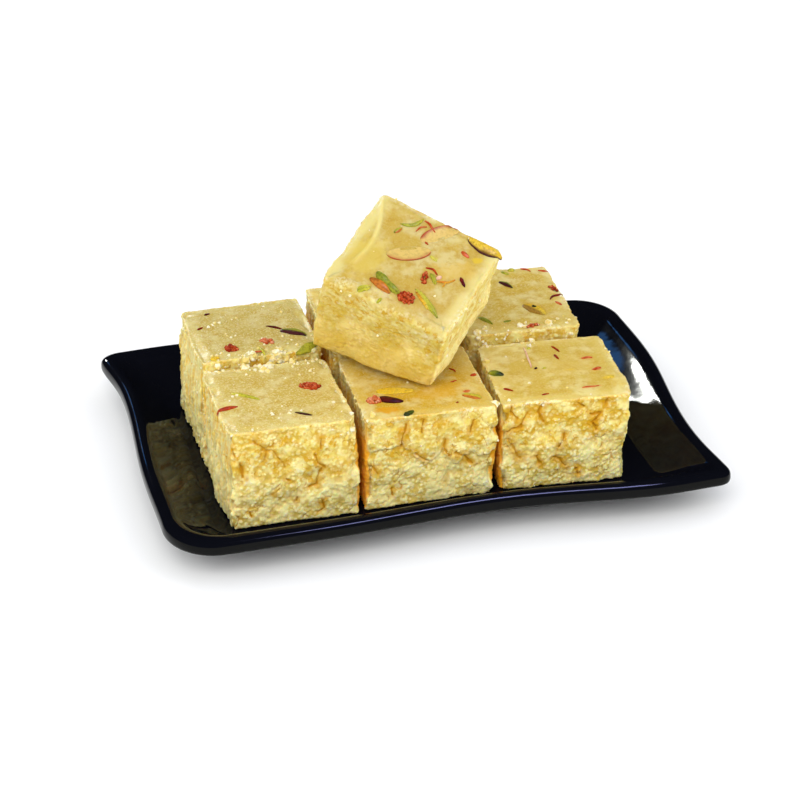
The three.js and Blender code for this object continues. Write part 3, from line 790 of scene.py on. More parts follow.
def top_sheet(rim, square, form, steps):
    """The top within its ragged rim: a grid that eases to even squares, and how far in from the rim
    each of its places lies."""
    width, depth, height = square["size"]
    seed = square["seed"]
    count = 4 * steps
    inner = np.arange(1, steps) / steps * 2 - 1
    gy, gx = np.meshgrid(inner, inner)
    gx, gy = gx.ravel(), gy.ravel()
    reach = np.maximum(np.abs(gx), np.abs(gy))
    safe = np.maximum(reach, 1e-9)
    ux, uy = gx / safe, gy / safe
    on_x = np.abs(gx) >= np.abs(gy)
    side = np.where(on_x, np.where(gx > 0, 3, 1), np.where(gy > 0, 0, 2))
    along = np.select([side == 0, side == 1, side == 2, side == 3],
                      [(1 - ux) / 2, (1 - uy) / 2, (1 + ux) / 2, (1 + uy) / 2])
    index = side * steps + along * steps
    low = np.floor(index).astype(int)
    part = (index - low)[:, None]
    edge_point = rim[low % count] * (1 - part) + rim[(low + 1) % count] * part
    wider = 1 + square["widen"]
    inset = form["top"] + (COARSE_CRAG[0] + FINE_CRAG[0]) * 0.3
    side_x = width / 2 * wider - inset
    back, front = depth / 2 * wider - inset, depth / 2 * wider - inset - form["front_top"] + form["top"]
    middle = np.array([0.0, (back - front) / 2])
    even = np.column_stack([gx * side_x, middle[1] + gy * (back + front) / 2])
    pull = (reach ** 4)[:, None]
    toward = middle + (edge_point[:, :2] - middle) * reach[:, None]
    sheet = np.zeros((len(gx), 3))
    sheet[:, :2] = even * (1 - pull) + toward * pull
    sheet[:, 2] = height
    sheet[:, 2] += swell_at(sheet, square) - TOP_SWELL[0] * noise(sheet, TOP_SWELL[1], seed + 2)
    in_mm = (1 - reach) * min(width, depth) / 2
    worn = WORN_EDGE * square["worn"] * noise(sheet, FINE_CRAG[1], seed + 3) ** 2
    sheet[:, 2] -= worn * smooth(2.6 * square["worn"] ** 0.5, 0.0, in_mm)
    return sheet, in_mm


def skin_faces(ring_count, foot, steps):
    """Faces between the rings, over the top's grid and round the foot's middle point."""
    count = 4 * steps
    grid = np.zeros((steps + 1, steps + 1), int)
    base = (ring_count - 1) * count
    k = np.arange(steps)
    grid[steps - k, steps] = base + k
    grid[0, steps - k] = base + steps + k
    grid[k, 0] = base + 2 * steps + k
    grid[steps, k] = base + 3 * steps + k
    grid[1:steps, 1:steps] = (ring_count * count + np.arange((steps - 1) ** 2)).reshape(
        steps - 1, steps - 1)
    faces = []
    for r in range(ring_count - 1):
        faces += ring_faces(count, r * count, (r + 1) * count)
    faces += np.stack([grid[:-1, :-1], grid[1:, :-1], grid[1:, 1:], grid[:-1, 1:]],
                      -1).reshape(-1, 4).tolist()
    return faces + [((i + 1) % count, i, foot) for i in range(count)]


def pale_rims(square, rest, top):
    """How pale each place of the top is along its rims and along the leaning square's fold."""
    width, depth, _ = square["size"]
    wander = 3.0 * (noise(rest, 5.0, square["seed"] + 15) - 0.5)
    wider = 1 + square["widen"]
    rims = [strength * smooth(7.0, 2.0, full / 2 * wider - np.abs(across) + wander)
            for strength, full, across in zip(square["rim"], (width, depth), rest.T[:2])]
    rims = top * np.maximum(*rims)
    if "bevel" in square:
        forward = np.clip(0.5 - rest[:, 1] / depth, 0, 1)
        off_fold = np.abs(fold_line(forward, square) - rest[:, 0])
        rims = np.maximum(rims, top * smooth(1.3, 0.3, off_fold) * smooth(0.85, 0.6, forward))
    return rims


def curd_values(square, rest, out, top, edge_near, lip):
    """What the curd's material and relief read at each place of a square, by name."""
    height, seed = square["size"][2], square["seed"]
    low = rest[:, 2] / height + 0.5 * (noise(rest, 5.0, seed + 12) - 0.5)
    grainy = smooth(0.62, 0.30, low) * (1 - top)
    # facing and between mark sides that face a neighbouring square; the material paints them orange as
    # painted shade and bounce light in the gaps.
    facing = toward_another(out, square["outer"]) * np.where(out[:, 1] < -0.6, 0.12, 1.0)
    below_edge = smooth(height - 3.0, height - 11.0, rest[:, 2])
    between = facing * below_edge * smooth(0.75, 0.95, np.abs(out).max(1))
    chalky = 0.25 + 1.1 * smooth(0.45, 0.75, noise(rest, 4.0, seed + 19))
    warm_low = smooth(1.1, 0.2, rest[:, 2] / height) * (0.5 + noise(rest, 6.0, seed + 14))
    warm_low *= 1 - 0.85 * smooth(0.5, 0.9, out[:, 0])
    on_top, on_sides = square["tone"]
    # The share of grainy brightens the lower sides: painted light.
    tone = on_sides + (on_top - on_sides) * top + 0.13 * grainy
    if "bevel" in square:
        tone += 0.22 * smooth(0.5, 0.9, out[:, 0]) * (1 - top)
    return {
        "top": top,
        "chalk": np.maximum(edge_near * (0.3 + 0.35 * (1 - top)) * chalky, 0.3 * lip),
        "grainy": grainy,
        "ridged": smooth(0.55, 0.9, -out[:, 0]) * (1 - top) * (1 - between),
        "between": between,
        "warm": square["warm"] * (1 - top) * warm_low,
        "rim": pale_rims(square, rest, top),
        "tone": tone,
        "sparkle": 0.12 + (square["sparkle"] - 0.12) * top,
        "golden": np.full(len(rest), square["golden"]),
        "rough": (1 - (1 - square["top_relief"]) * top) * square["rough"],
    }


def make_square(name, square, form, steps, steps_up):
    """The closed skin of one square: rings up its cut sides and over the edge, and a grid on top.
    Its places follow the part's, with chipped corners, cracks and a ledge of its own. Finer relief
    comes from the curd relief nodes."""
    height = square["size"][2]
    rings, outs, tops = cut_sides(square, form, steps, steps_up)
    sheet, in_mm = top_sheet(rings[-1], square, form, steps)
    rest = np.vstack(rings + [sheet, rings[0].mean(0)[None]])
    out = np.vstack(outs + [np.zeros((len(sheet) + 1, 3))])
    top = np.concatenate(tops + [np.ones(len(sheet)), [0.0]])
    edge_near = np.concatenate([smooth(height - 1.9, height - 0.5, r[:, 2]) for r in rings]
                               + [smooth(1.2, 0.1, in_mm), [0.0]])
    crack, ochre = crack_depths(rest, square, name)
    crack *= (1 - top) * smooth(0.8, 2.5, rest[:, 2])
    ledge, lip = ledge_depths(rest, square, name)
    points = rest - out * (CRACK_DEPTH * crack * square["rough"] + ledge * (1 - top))[:, None]
    points = to_frame(bent(points, square), square)

    piece = add_mesh(name.replace("block", "curd"), points,
                     skin_faces(len(rings), len(rest) - 1, steps))
    values = curd_values(square, rest, out, top, edge_near, lip)
    for label, value in {**values, "crack": crack, "ochre": ochre}.items():
        add_value(piece, label, value)
    add_colour(piece, "stain", stain_colours(rest, top, name))
    return piece


# Flat stains in a top: centre, half length, half width, turn, colour, strength.
STAINS = {
    "block_front_middle": [
        (-13.2, -16.0, 4.6, 2.1, -10, (226, 160, 22), 0.85),
        (-7.8, -4.2, 6.6, 1.9, -11, (196, 160, 30), 0.7),
        (15.3, -13.4, 3.6, 1.5, -37, (202, 160, 32), 0.8),
        (14.6, -10.1, 1.3, 1.0, 0, (214, 118, 44), 0.8),
        (6.0, -8.0, 9.0, 5.0, 10, (224, 172, 58), 0.5),
    ],
    "block_front_right": [
        (16.8, -8.7, 2.0, 1.5, 0, (226, 186, 30), 0.8),
        (12.8, 5.7, 2.2, 0.9, 2, (226, 140, 84), 0.75),
        (14.2, -2.2, 1.7, 1.0, 17, (214, 100, 62), 0.8),
        (9.3, -13.8, 3.2, 0.6, 4, (224, 132, 76), 0.75),
        (5.4, -1.3, 1.9, 0.6, 5, (222, 186, 40), 0.7),
        (5.0, 2.0, 10.0, 7.0, 0, (222, 190, 106), 0.35),
    ],
    "block_back_right": [
        (17.9, 23.0, 2.2, 0.8, -23, (222, 132, 70), 0.7),
        (4.0, 19.5, 1.9, 0.9, -41, (176, 150, 50), 0.7),
        (8.0, -8.0, 6.0, 3.0, -59, (214, 166, 62), 0.5),
    ],
    "block_top": [
        (16.6, 12.3, 2.0, 1.2, 34, (232, 196, 34), 0.8),
        (4.5, 5.0, 1.3, 1.0, 0, (224, 204, 60), 0.6),
        (12.5, 4.0, 9.0, 3.6, 40, (232, 192, 86), 0.5),
        (-14.0, -6.0, 6.0, 9.0, 0, (233, 204, 96), 0.6),
    ],
    "block_back_left": [
        (-16.0, -19.6, 1.8, 1.4, 0, (232, 196, 30), 0.9),
        (0.7, -19.2, 0.8, 2.6, 10, (206, 190, 60), 0.6),
    ],
}


def stain_colours(rest, top, name):
    """Colour and strength of the flat stains at each place of a top."""
    colours = np.zeros((len(rest), 4))
    ragged = noise(rest, 1.1, 7) - 0.5
    for x, y, long, wide, turn, colour, strength in STAINS.get(name, []):
        a = math.radians(turn)
        across = rest[:, :2] - (x, y)
        u = (across[:, 0] * math.cos(a) + across[:, 1] * math.sin(a)) / long
        v = (-across[:, 0] * math.sin(a) + across[:, 1] * math.cos(a)) / wide
        share = smooth(1.25, 0.55, np.hypot(u, v) + 0.7 * ragged) * strength * (top > 0.4)
        light = np.array(linear(*colour)[:3])
        keep = colours[:, 3] * (1 - share)
        total = np.maximum(share + keep, 1e-9)
        colours[:, :3] = (light * share[:, None] + colours[:, :3] * keep[:, None]) / total[:, None]
        colours[:, 3] = total
    return colours


def node_group(name, inputs):
    """Geometry nodes with a geometry in and out and named inputs, each with its kind and its usual
    value, and what those inputs give."""
    tree = bpy.data.node_groups.new(name, "GeometryNodeTree")
    face = tree.interface
    face.new_socket("Geometry", in_out="INPUT", socket_type="NodeSocketGeometry")
    for label, (kind, value) in inputs.items():
        socket = face.new_socket(label, in_out="INPUT", socket_type="NodeSocket" + kind)
        if value is not None:
            socket.default_value = value
    face.new_socket("Geometry", in_out="OUTPUT", socket_type="NodeSocketGeometry")
    return tree, put(tree, "NodeGroupInput").outputs


def curd_relief():
    """Nodes that push a smooth skin in to broken curd: facets with crevices between some of them,
    grains, a slow swell, and upright ridges where the attribute ridged is high. How deep each place
    lies is kept as the attribute hollow, and the crevices are added to the attribute crack."""
    sizes = {"Facet Size": 4.2, "Facet Depth": 0.25, "Crevice Depth": 0.30, "Grain Size": 1.2,
             "Grain Depth": 0.38, "Swell Size": 4.0, "Swell Depth": 0.45, "Ridge Depth": 0.8,
             "Seed": 1.0}
    inputs = {label: ("Float", value) for label, value in sizes.items()}
    tree, given = node_group("curd_relief", {**inputs, "Finish": ("Material", None)})

    def named(label):
        read = put(tree, "GeometryNodeInputNamedAttribute", {"Name": label}, data_type="FLOAT")
        return read.outputs["Attribute"]

    def frequency(label):
        return work_out(tree, "DIVIDE", 1000.0, given[label])

    shift = put(tree, "ShaderNodeCombineXYZ", {"X": times(tree, given["Seed"], 0.137),
                                               "Y": times(tree, given["Seed"], 0.071)}).outputs[0]
    place = vector(tree, "ADD", put(tree, "GeometryNodeInputPosition").outputs[0], shift)

    wavering = stirred(tree, place, 3.8, 2.2)
    grainy_place = stirred(tree, place, 1.5, 0.6)

    facets = put(tree, "ShaderNodeTexVoronoi", {"Vector": wavering, "Scale": frequency("Facet Size"),
                                                "Smoothness": 0.35}, feature="SMOOTH_F1")
    lift = put(tree, "ShaderNodeSeparateXYZ", {0: facets.outputs["Color"]}).outputs[0]
    dome = remap(tree, facets.outputs["Distance"], 0.1, 0.75)
    facet = times(tree, plus(tree, times(tree, lift, 0.6), times(tree, dome, 0.4)), given["Facet Depth"])

    border = put(tree, "ShaderNodeTexVoronoi", {"Vector": wavering, "Scale": frequency("Facet Size")},
                 feature="DISTANCE_TO_EDGE").outputs["Distance"]
    patchy = put(tree, "ShaderNodeTexNoise", {"Vector": place, "Scale": 130.0, "Detail": 3.0})
    open_here = remap(tree, patchy.outputs["Fac"], 0.50, 0.62)
    crevice = times(tree, remap(tree, border, 0.075, 0.0), open_here)

    grain = put(tree, "ShaderNodeTexVoronoi", {"Vector": grainy_place, "Scale": frequency("Grain Size"),
                                               "Smoothness": 0.4}, feature="SMOOTH_F1")
    grains = times(tree, remap(tree, grain.outputs["Distance"], 0.08, 0.72),
                   plus(tree, times(tree, named("grainy"), 0.1), 0.6), given["Grain Depth"])
    swell = put(tree, "ShaderNodeTexNoise", {"Vector": place, "Scale": frequency("Swell Size"),
                                             "Detail": 5.0, "Roughness": 0.55}).outputs["Fac"]
    swell = times(tree, remap(tree, swell, 0.25, 0.75), given["Swell Depth"])
    upright = put(tree, "ShaderNodeTexNoise",
                  {"Vector": vector(tree, "MULTIPLY", place, (1.0, 1.0, 0.2)), "Scale": 520.0,
                   "Detail": 3.0}).outputs["Fac"]
    ridges = times(tree, remap(tree, upright, 0.36, 0.64), named("ridged"), given["Ridge Depth"])

    depth = plus(tree, facet, grains, swell, ridges)
    whole = plus(tree, given["Facet Depth"], given["Grain Depth"], given["Swell Depth"])
    # The skin moves both ways, so that its middle stays in place.
    about = plus(tree, depth, times(tree, whole, -0.5), times(tree, crevice, given["Crevice Depth"]))
    inward = times(tree, about, named("rough"), -MM)
    push = vector(tree, "SCALE", put(tree, "GeometryNodeInputNormal").outputs[0], inward)
    kept = put(tree, "GeometryNodeStoreNamedAttribute",
               {"Geometry": given["Geometry"], "Name": "hollow",
                "Value": work_out(tree, "DIVIDE", depth, whole)}, data_type="FLOAT", domain="POINT")
    # The material paints these crevices darker, as painted shade.
    on_side = work_out(tree, "MINIMUM", named("rough"), 1.0)
    cracked = work_out(tree, "MAXIMUM", named("crack"), times(tree, crevice, on_side, 0.8))
    kept = put(tree, "GeometryNodeStoreNamedAttribute",
               {"Geometry": kept.outputs[0], "Name": "crack", "Value": cracked},
               data_type="FLOAT", domain="POINT")
    moved = put(tree, "GeometryNodeSetPosition", {"Geometry": kept.outputs[0], "Offset": push})
    dressed = put(tree, "GeometryNodeSetMaterial", {"Geometry": moved.outputs[0],
                                                    "Material": given["Finish"]})
    put(tree, "NodeGroupOutput", {0: dressed.outputs[0]})
    return tree


def apply_nodes(piece, tree, values):
    """Runs a node tree on a piece with its named inputs set, and keeps the result as a plain mesh."""
    modifier = piece.modifiers.new(tree.name, "NODES")
    modifier.node_group = tree
    sockets = {s.name: s.identifier for s in tree.interface.items_tree if s.in_out == "INPUT"}
    for label, value in values.items():
        modifier[sockets[label]] = value
    bpy.context.view_layer.update()
    depsgraph = bpy.context.evaluated_depsgraph_get()
    mesh = bpy.data.meshes.new_from_object(piece.evaluated_get(depsgraph),
                                           preserve_all_data_layers=True, depsgraph=depsgraph)
    piece.modifiers.clear()
    piece.data = mesh
    return piece


# ---------------------------------------------------------------- crumbs


def crumb_scatter():
    """Nodes that strew small broken grains where the attribute loose is high."""
    tree, given = node_group("crumb_scatter", {
        "Grain": ("Object", None), "Smallest": ("Float", 0.5), "Largest": ("Float", 1.7),
        "Density": ("Float", 0.3), "Seed": ("Int", 5), "Finish": ("Material", None)})
    loose = put(tree, "GeometryNodeInputNamedAttribute", {"Name": "loose"}, data_type="FLOAT")
    density = times(tree, loose.outputs["Attribute"], times(tree, given["Density"], 1e6))
    spots = put(tree, "GeometryNodeDistributePointsOnFaces",
                {"Mesh": given["Geometry"], "Density": density, "Seed": given["Seed"]})
    turn = put(tree, "FunctionNodeRandomValue",
               {0: (0.0, 0.0, 0.0), 1: (6.3, 6.3, 6.3), "Seed": given["Seed"]},
               data_type="FLOAT_VECTOR")
    size = put(tree, "FunctionNodeRandomValue",
               {2: given["Smallest"], 3: given["Largest"], "Seed": given["Seed"]},
               data_type="FLOAT")
    info = put(tree, "GeometryNodeObjectInfo", {"Object": given["Grain"]})
    strewn = put(tree, "GeometryNodeInstanceOnPoints",
                 {"Points": spots.outputs["Points"], "Instance": info.outputs["Geometry"],
                  "Rotation": turn.outputs[0], "Scale": size.outputs[1]})
    real = put(tree, "GeometryNodeRealizeInstances", {"Geometry": strewn.outputs[0]})
    dressed = put(tree, "GeometryNodeSetMaterial", {"Geometry": real.outputs[0],
                                                    "Material": given["Finish"]})
    put(tree, "NodeGroupOutput", {0: dressed.outputs[0]})
    return tree


# ---------------------------------------------------------------- nuts, petals and threads

# Colours that each kind runs through, dark to pale, on the screen's scale.
RAMPS = {
    "pistachio": [(34, 36, 12), (76, 90, 26), (134, 142, 38), (190, 182, 52), (222, 206, 98)],
    "amber": [(120, 60, 15), (206, 128, 34), (222, 184, 44), (232, 208, 100)],
    "rose": [(56, 14, 20), (122, 26, 2), (182, 64, 8), (216, 122, 70), (238, 198, 168)],
}
SKIN = (74, 32, 34)
RUST = (190, 112, 40)

# Slivers: ramp, place on the square, length, turn, width, height above the top, how far along the
# ramp it starts and ends, how much it bows, how flat its far side is, and the colour of its near side.
SLIVERS = {
    "block_front_left": [
        ("pistachio", -9.9, 1.8, 10.7, -39, 2.0, 0.5, 0.8, 0.66, 0.4, 0.0, None),
        ("rose", -17.1, -4.6, 7.4, 9, 1.7, 0.7, 0.42, 0.5, 0.2, 0.0, None),
        ("pistachio", 5.4, -14.0, 6.2, -35, 1.3, 0.5, 0.6, 0.0, 0.0, 0.0, SKIN),
    ],
    "block_front_middle": [
        ("rose", -10.5, -9.8, 8.6, -28, 3.8, 1.3, 0.08, 0.04, -0.6, 0.0, None),
        ("amber", -7.8, -4.4, 12.8, -11, 5.2, 0.5, 0.66, 0.75, 0.3, 0.0, None),
        ("pistachio", -6.9, -19.4, 4.5, 31, 2.0, 0.7, 0.05, 0.3, 0.0, 0.0, None),
        ("pistachio", 15.3, -13.8, 6.8, -37, 3.8, 0.5, 0.8, 0.72, 0.2, 0.0, RUST),
        ("rose", 14.6, -10.1, 2.4, 10, 1.6, 0.3, 0.66, 0.7, 0.0, 0.0, None),
        ("rose", 19.6, -0.1, 2.5, 20, 1.3, 0.4, 0.5, 0.56, 0.0, 0.0, None),
    ],
    "block_front_right": [
        ("pistachio", -19.2, 0.2, 5.8, -31, 2.6, 1.1, 0.78, 0.0, 0.0, 0.0, None),
        ("rose", 3.9, 13.2, 4.8, -67, 1.1, 0.5, 0.45, 0.3, 0.2, 0.0, None),
        ("rose", 3.0, 7.8, 3.9, -77, 1.1, 0.5, 0.3, 0.42, 0.0, 0.0, None),
        ("rose", -17.4, -11.1, 3.6, -37, 1.2, 0.5, 0.36, 0.42, 0.0, 0.0, None),
        ("rose", -6.3, -16.1, 2.8, 12, 0.8, 0.4, 0.3, 0.5, 0.0, 0.0, None),
        ("rose", -5.5, 1.3, 1.5, 40, 1.0, 0.5, 0.0, 0.1, 0.0, 0.0, None),
        ("pistachio", -2.7, 1.0, 1.6, 20, 1.1, 0.4, 0.75, 0.8, 0.0, 0.0, None),
        ("pistachio", -4.7, 15.3, 1.8, 60, 1.3, 0.4, 0.75, 0.8, 0.0, 0.0, None),
        ("amber", 16.8, -8.7, 3.3, 0, 2.2, 0.3, 0.7, 0.8, 0.0, 0.0, None),
    ],
    "block_back_left": [
        ("rose", 8.4, -1.6, 7.0, -40, 1.3, 0.6, 0.02, 0.2, 0.3, 0.0, None),
        ("pistachio", 13.6, -6.6, 9.6, -34, 4.0, 1.1, 0.45, 0.66, 0.5, 0.0, SKIN),
        ("pistachio", 15.6, -17.6, 9.2, 23, 3.6, 1.6, 0.7, 0.6, 0.0, 0.8, None),
        ("pistachio", 0.7, -16.4, 6.0, -80, 1.3, 0.5, 0.75, 0.8, 0.2, 0.0, None),
        ("rose", -11.6, 13.7, 2.3, 15, 1.1, 0.5, 0.02, 0.2, 0.0, 0.0, None),
        ("rose", -15.9, 3.9, 2.6, 31, 1.1, 0.5, 0.2, 0.4, 0.0, 0.0, None),
        ("amber", -15.2, -17.2, 3.2, 8, 2.0, 0.4, 0.66, 0.66, 0.0, 0.0, None),
    ],
    "block_back_middle": [
        ("pistachio", 12.0, 12.5, 8.0, 12, 2.6, 0.9, 0.5, 0.7, 0.3, 0.0, SKIN),
        ("rose", -12.0, 11.0, 4.0, 40, 1.6, 0.7, 0.3, 0.5, 0.0, 0.0, None),
    ],
    "block_back_right": [
        ("pistachio", 6.8, 21.2, 3.0, 20, 1.6, 0.7, 0.72, 0.8, 0.0, 0.0, None),
        ("pistachio", 4.0, 18.8, 3.2, -41, 1.3, 0.4, 0.5, 0.7, 0.0, 0.0, None),
        ("pistachio", 2.2, 10.3, 6.4, -53, 1.8, 1.0, 0.62, 0.3, 0.3, 0.0, SKIN),
        ("amber", 7.4, -9.5, 10.6, -59, 5.4, 0.8, 0.62, 0.74, 0.4, 0.0, (160, 120, 40)),
        ("pistachio", 7.6, -8.4, 2.4, -40, 1.4, 1.2, 0.0, 0.1, 0.0, 0.0, None),
        ("pistachio", -10.8, -14.1, 7.1, -58, 1.8, 0.8, 0.62, 0.5, 0.3, 0.0, None),
        ("pistachio", -3.7, -15.9, 2.8, 10, 1.3, 0.5, 0.5, 0.4, 0.0, 0.0, None),
        ("rose", 16.7, -6.5, 3.7, -65, 1.3, 0.4, 0.66, 0.6, 0.0, 0.0, None),
        ("rose", 17.9, 19.0, 3.9, -23, 1.0, 0.4, 0.5, 0.6, 0.0, 0.0, None),
    ],
    "block_top": [
        ("pistachio", -2.9, -12.0, 11.4, -20, 3.6, 1.9, 0.50, 0.58, -0.5, 0.0, None),
        ("amber", -4.7, -14.4, 8.6, -12, 2.9, 1.5, 0.10, 0.45, 0.3, 0.0, RUST),
        ("pistachio", 10.9, -12.2, 13.2, -29, 2.3, 0.9, 0.85, 0.58, 0.5, 0.0, None),
        ("amber", 9.2, -12.0, 8.0, -31, 1.7, 0.7, 0.35, 0.75, 0.3, 0.0, None),
        ("amber", 16.4, 18.9, 13.1, -2, 7.4, 1.5, 0.72, 0.66, 0.0, 0.85, SKIN),
        ("pistachio", -8.5, -17.8, 4.4, 39, 2.6, 0.9, 0.66, 0.85, 0.0, 0.0, None),
        ("pistachio", -2.3, -19.0, 1.8, 60, 1.0, 0.5, 0.6, 0.7, 0.0, 0.0, None),
        ("pistachio", -10.5, 8.8, 3.6, 70, 1.6, 0.5, 0.55, 0.72, 0.0, 0.0, RUST),
        ("pistachio", -8.5, 14.7, 8.4, 49, 1.7, 0.6, 0.55, 0.72, -1.6, 0.0, None),
        ("pistachio", 8.1, -2.5, 4.6, -42, 1.8, 1.0, 0.6, 0.66, 0.3, 0.0, None),
        ("pistachio", 4.5, 5.0, 3.0, -20, 1.1, 0.3, 0.8, 0.9, 0.0, 0.0, None),
        ("rose", 12.3, 12.2, 3.5, -17, 1.7, 0.6, 0.58, 0.6, 0.0, 0.0, None),
        ("rose", 16.7, 1.7, 4.2, -42, 1.4, 0.7, 0.2, 0.1, 0.0, 0.0, None),
        ("rose", 9.5, -1.1, 2.4, 60, 1.5, 0.9, 0.95, 0.9, 0.0, 0.0, None),
        ("rose", -0.3, 9.3, 1.8, -20, 0.9, 0.4, 0.5, 0.5, 0.0, 0.0, None),
    ],
}

# Clusters of small grains: place, length, turn, width, height above the top, place on the rose ramp.
CLUSTERS = {
    "block_front_left": [(11.6, 2.9, 7.3, -26, 4.3, 1.0, 0.46)],
    "block_front_middle": [
        (-15.9, -9.0, 4.8, -14, 5.2, 1.1, 0.66), (9.7, -16.5, 1.2, 0, 1.1, 0.3, 0.4)],
    "block_back_left": [
        (-8.6, -12.2, 4.7, -15, 4.7, 1.1, 0.38), (3.8, -10.7, 5.4, -35, 3.0, 0.9, 0.62)],
    "block_back_middle": [(-2.0, 14.0, 4.4, 20, 3.2, 0.9, 0.4)],
    "block_back_right": [
        (17.6, 4.9, 5.2, -67, 2.1, 1.0, 0.42), (4.0, -20.8, 5.1, 14, 2.1, 0.8, 0.6)],
    "block_top": [
        (4.5, -14.0, 5.8, 22, 5.0, 1.7, 0.44), (5.7, -3.6, 5.6, 107, 2.1, 1.1, 0.42)],
}

# Threads: place, length, turn, thickness, bow, ramp and place on it.
THREADS = {
    "block_front_middle": [
        (13.8, 4.5, 3.4, -66, 0.6, 0.2, "rose", 0.45), (12.2, -3.0, 2.2, 14, 0.5, 0.1, "rose", 0.5)],
    "block_front_right": [
        (-6.8, 8.9, 13.6, -92, 0.7, 0.5, "rose", 1.0), (9.3, -13.8, 5.8, 4, 0.5, 0.1, "rose", 0.64),
        (12.8, 5.7, 3.6, 2, 0.8, 0.1, "rose", 0.62), (14.2, -2.2, 3.0, 17, 0.9, 0.1, "rose", 0.56)],
    "block_back_left": [(-1.3, -17.2, 4.0, 14, 0.7, 0.2, "rose", 0.56)],
    "block_back_right": [
        (17.2, -1.8, 6.0, 29, 0.9, 0.9, "rose", 0.22), (12.0, 20.8, 4.0, -42, 0.7, 0.3, "rose", 0.6)],
    "block_top": [
        (-2.5, 16.0, 5.6, -27, 0.8, 0.3, "rose", 0.56), (-4.6, 13.6, 4.2, 60, 0.6, 0.3, "rose", 0.6),
        (6.4, 0.2, 4.4, -7, 0.8, 0.5, "rose", 0.45), (11.8, -1.0, 6.6, 39, 0.8, -0.5, "amber", 0.4),
        (12.4, -2.4, 2.6, 80, 0.6, 0.2, "amber", 0.5)],
}

# Thin almond flakes with a brown rim on one side: place, length, turn, width, and where out from
# the middle the rim starts.
FLAKES = {"block_top": [(-3.4, 2.8, 14.8, 39, 6.8, 0.85), (1.8, 15.0, 14.6, 235, 6.4, 0.70)]}
FLAKE_PALE, FLAKE_RIM = (214, 186, 104), (170, 76, 34)


# Crumbs: only where torn, smallest and largest across, and how many lie on a square millimetre.
CRUMB_SIZES = ((False, 0.35, 1.2, 0.36), (True, 1.2, 3.0, 0.09))

# Where the tops' edges are torn and crumbs lie thickest: place in the frame, radius and strength.
TORN_PLACES = [
    (-62.0, 1.5, 40.0, 7.0, 1.0), (-50.0, 1.0, 40.5, 8.0, 1.3), (-38.0, 1.0, 40.5, 9.0, 1.5),
    (-29.0, 0.5, 40.5, 6.0, 1.2), (-29.5, -42.0, 40.0, 7.0, 0.9), (-67.0, -43.0, 40.0, 4.0, 0.6),
    (-22.5, -40.0, 38.5, 4.0, 0.6), (31.0, 0.5, 41.0, 8.0, 0.9), (43.0, 0.0, 41.0, 8.0, 0.8),
    (55.0, 0.0, 41.0, 7.0, 0.7), (36.0, -29.0, 37.8, 3.4, 1.2), (24.0, -12.0, 38.0, 4.0, 0.6),
    (-28.0, 14.0, 41.5, 6.0, 0.6), (23.0, -38.0, 37.5, 4.0, 0.5),
]


class Gathered:
    """Shapes laid on the squares' tops that together make one piece."""

    def __init__(self):
        self.verts, self.faces, self.tints = [], [], []
        self.count = 0

    def lay(self, name, shape, x, y, turn, tint):
        """Adds a shape, given in its own millimetres, at a place on the top of a square."""
        square = TOP_SQUARES[name]
        points, faces = shape
        a = math.radians(turn)
        place = np.column_stack([x + points[:, 0] * math.cos(a) - points[:, 1] * math.sin(a),
                                 y + points[:, 0] * math.sin(a) + points[:, 1] * math.cos(a),
                                 points[:, 2]])
        place[:, 2] += top_height(place, name)
        self.verts.append(to_frame(bent(place, square), square))
        self.faces += [tuple(i + self.count for i in face) for face in faces]
        self.tints.append(tint)
        self.count += len(points)

    def make(self, name, finish):
        piece = add_mesh(name, np.vstack(self.verts), self.faces)
        tints = np.vstack(self.tints)
        add_colour(piece, "tint", np.column_stack([tints, np.ones(len(tints))]))
        piece.data.materials.append(finish)
        return piece


def top_height(place, name):
    """How high a square's top lies at places across it, down over its rounded edges."""
    square, form = TOP_SQUARES[name], LEANING_FORM if name == "block_top" else SQUARE_FORM
    width, depth, height = square["size"]
    wider = 1 + square["widen"]
    at_top = np.column_stack([place[:, :2], np.full(len(place), height)])
    z = height - TOP_SWELL[0] * noise(at_top, TOP_SWELL[1], square["seed"] + 2)
    z += swell_at(at_top, square)
    front = form["front_top"]
    edges = [(width / 2 * wider - np.abs(place[:, 0]), form["top"]),
             (depth / 2 * wider - place[:, 1], form["top"]), (depth / 2 * wider + place[:, 1], front)]
    for inside, radius in edges:
        short = np.clip(radius + 0.6 - inside, 0, radius)
        z -= radius - np.sqrt(radius ** 2 - short ** 2)
    return z


def ramp_colour(name, share):
    """Linear colours at shares from 0 to 1 along a named ramp."""
    stops = np.array([linear(*c)[:3] for c in RAMPS[name]])
    at = np.clip(share, 0, 1) * (len(stops) - 1)
    low = np.minimum(at.astype(int), len(stops) - 2)
    return stops[low] + (stops[low + 1] - stops[low]) * (at - low)[:, None]


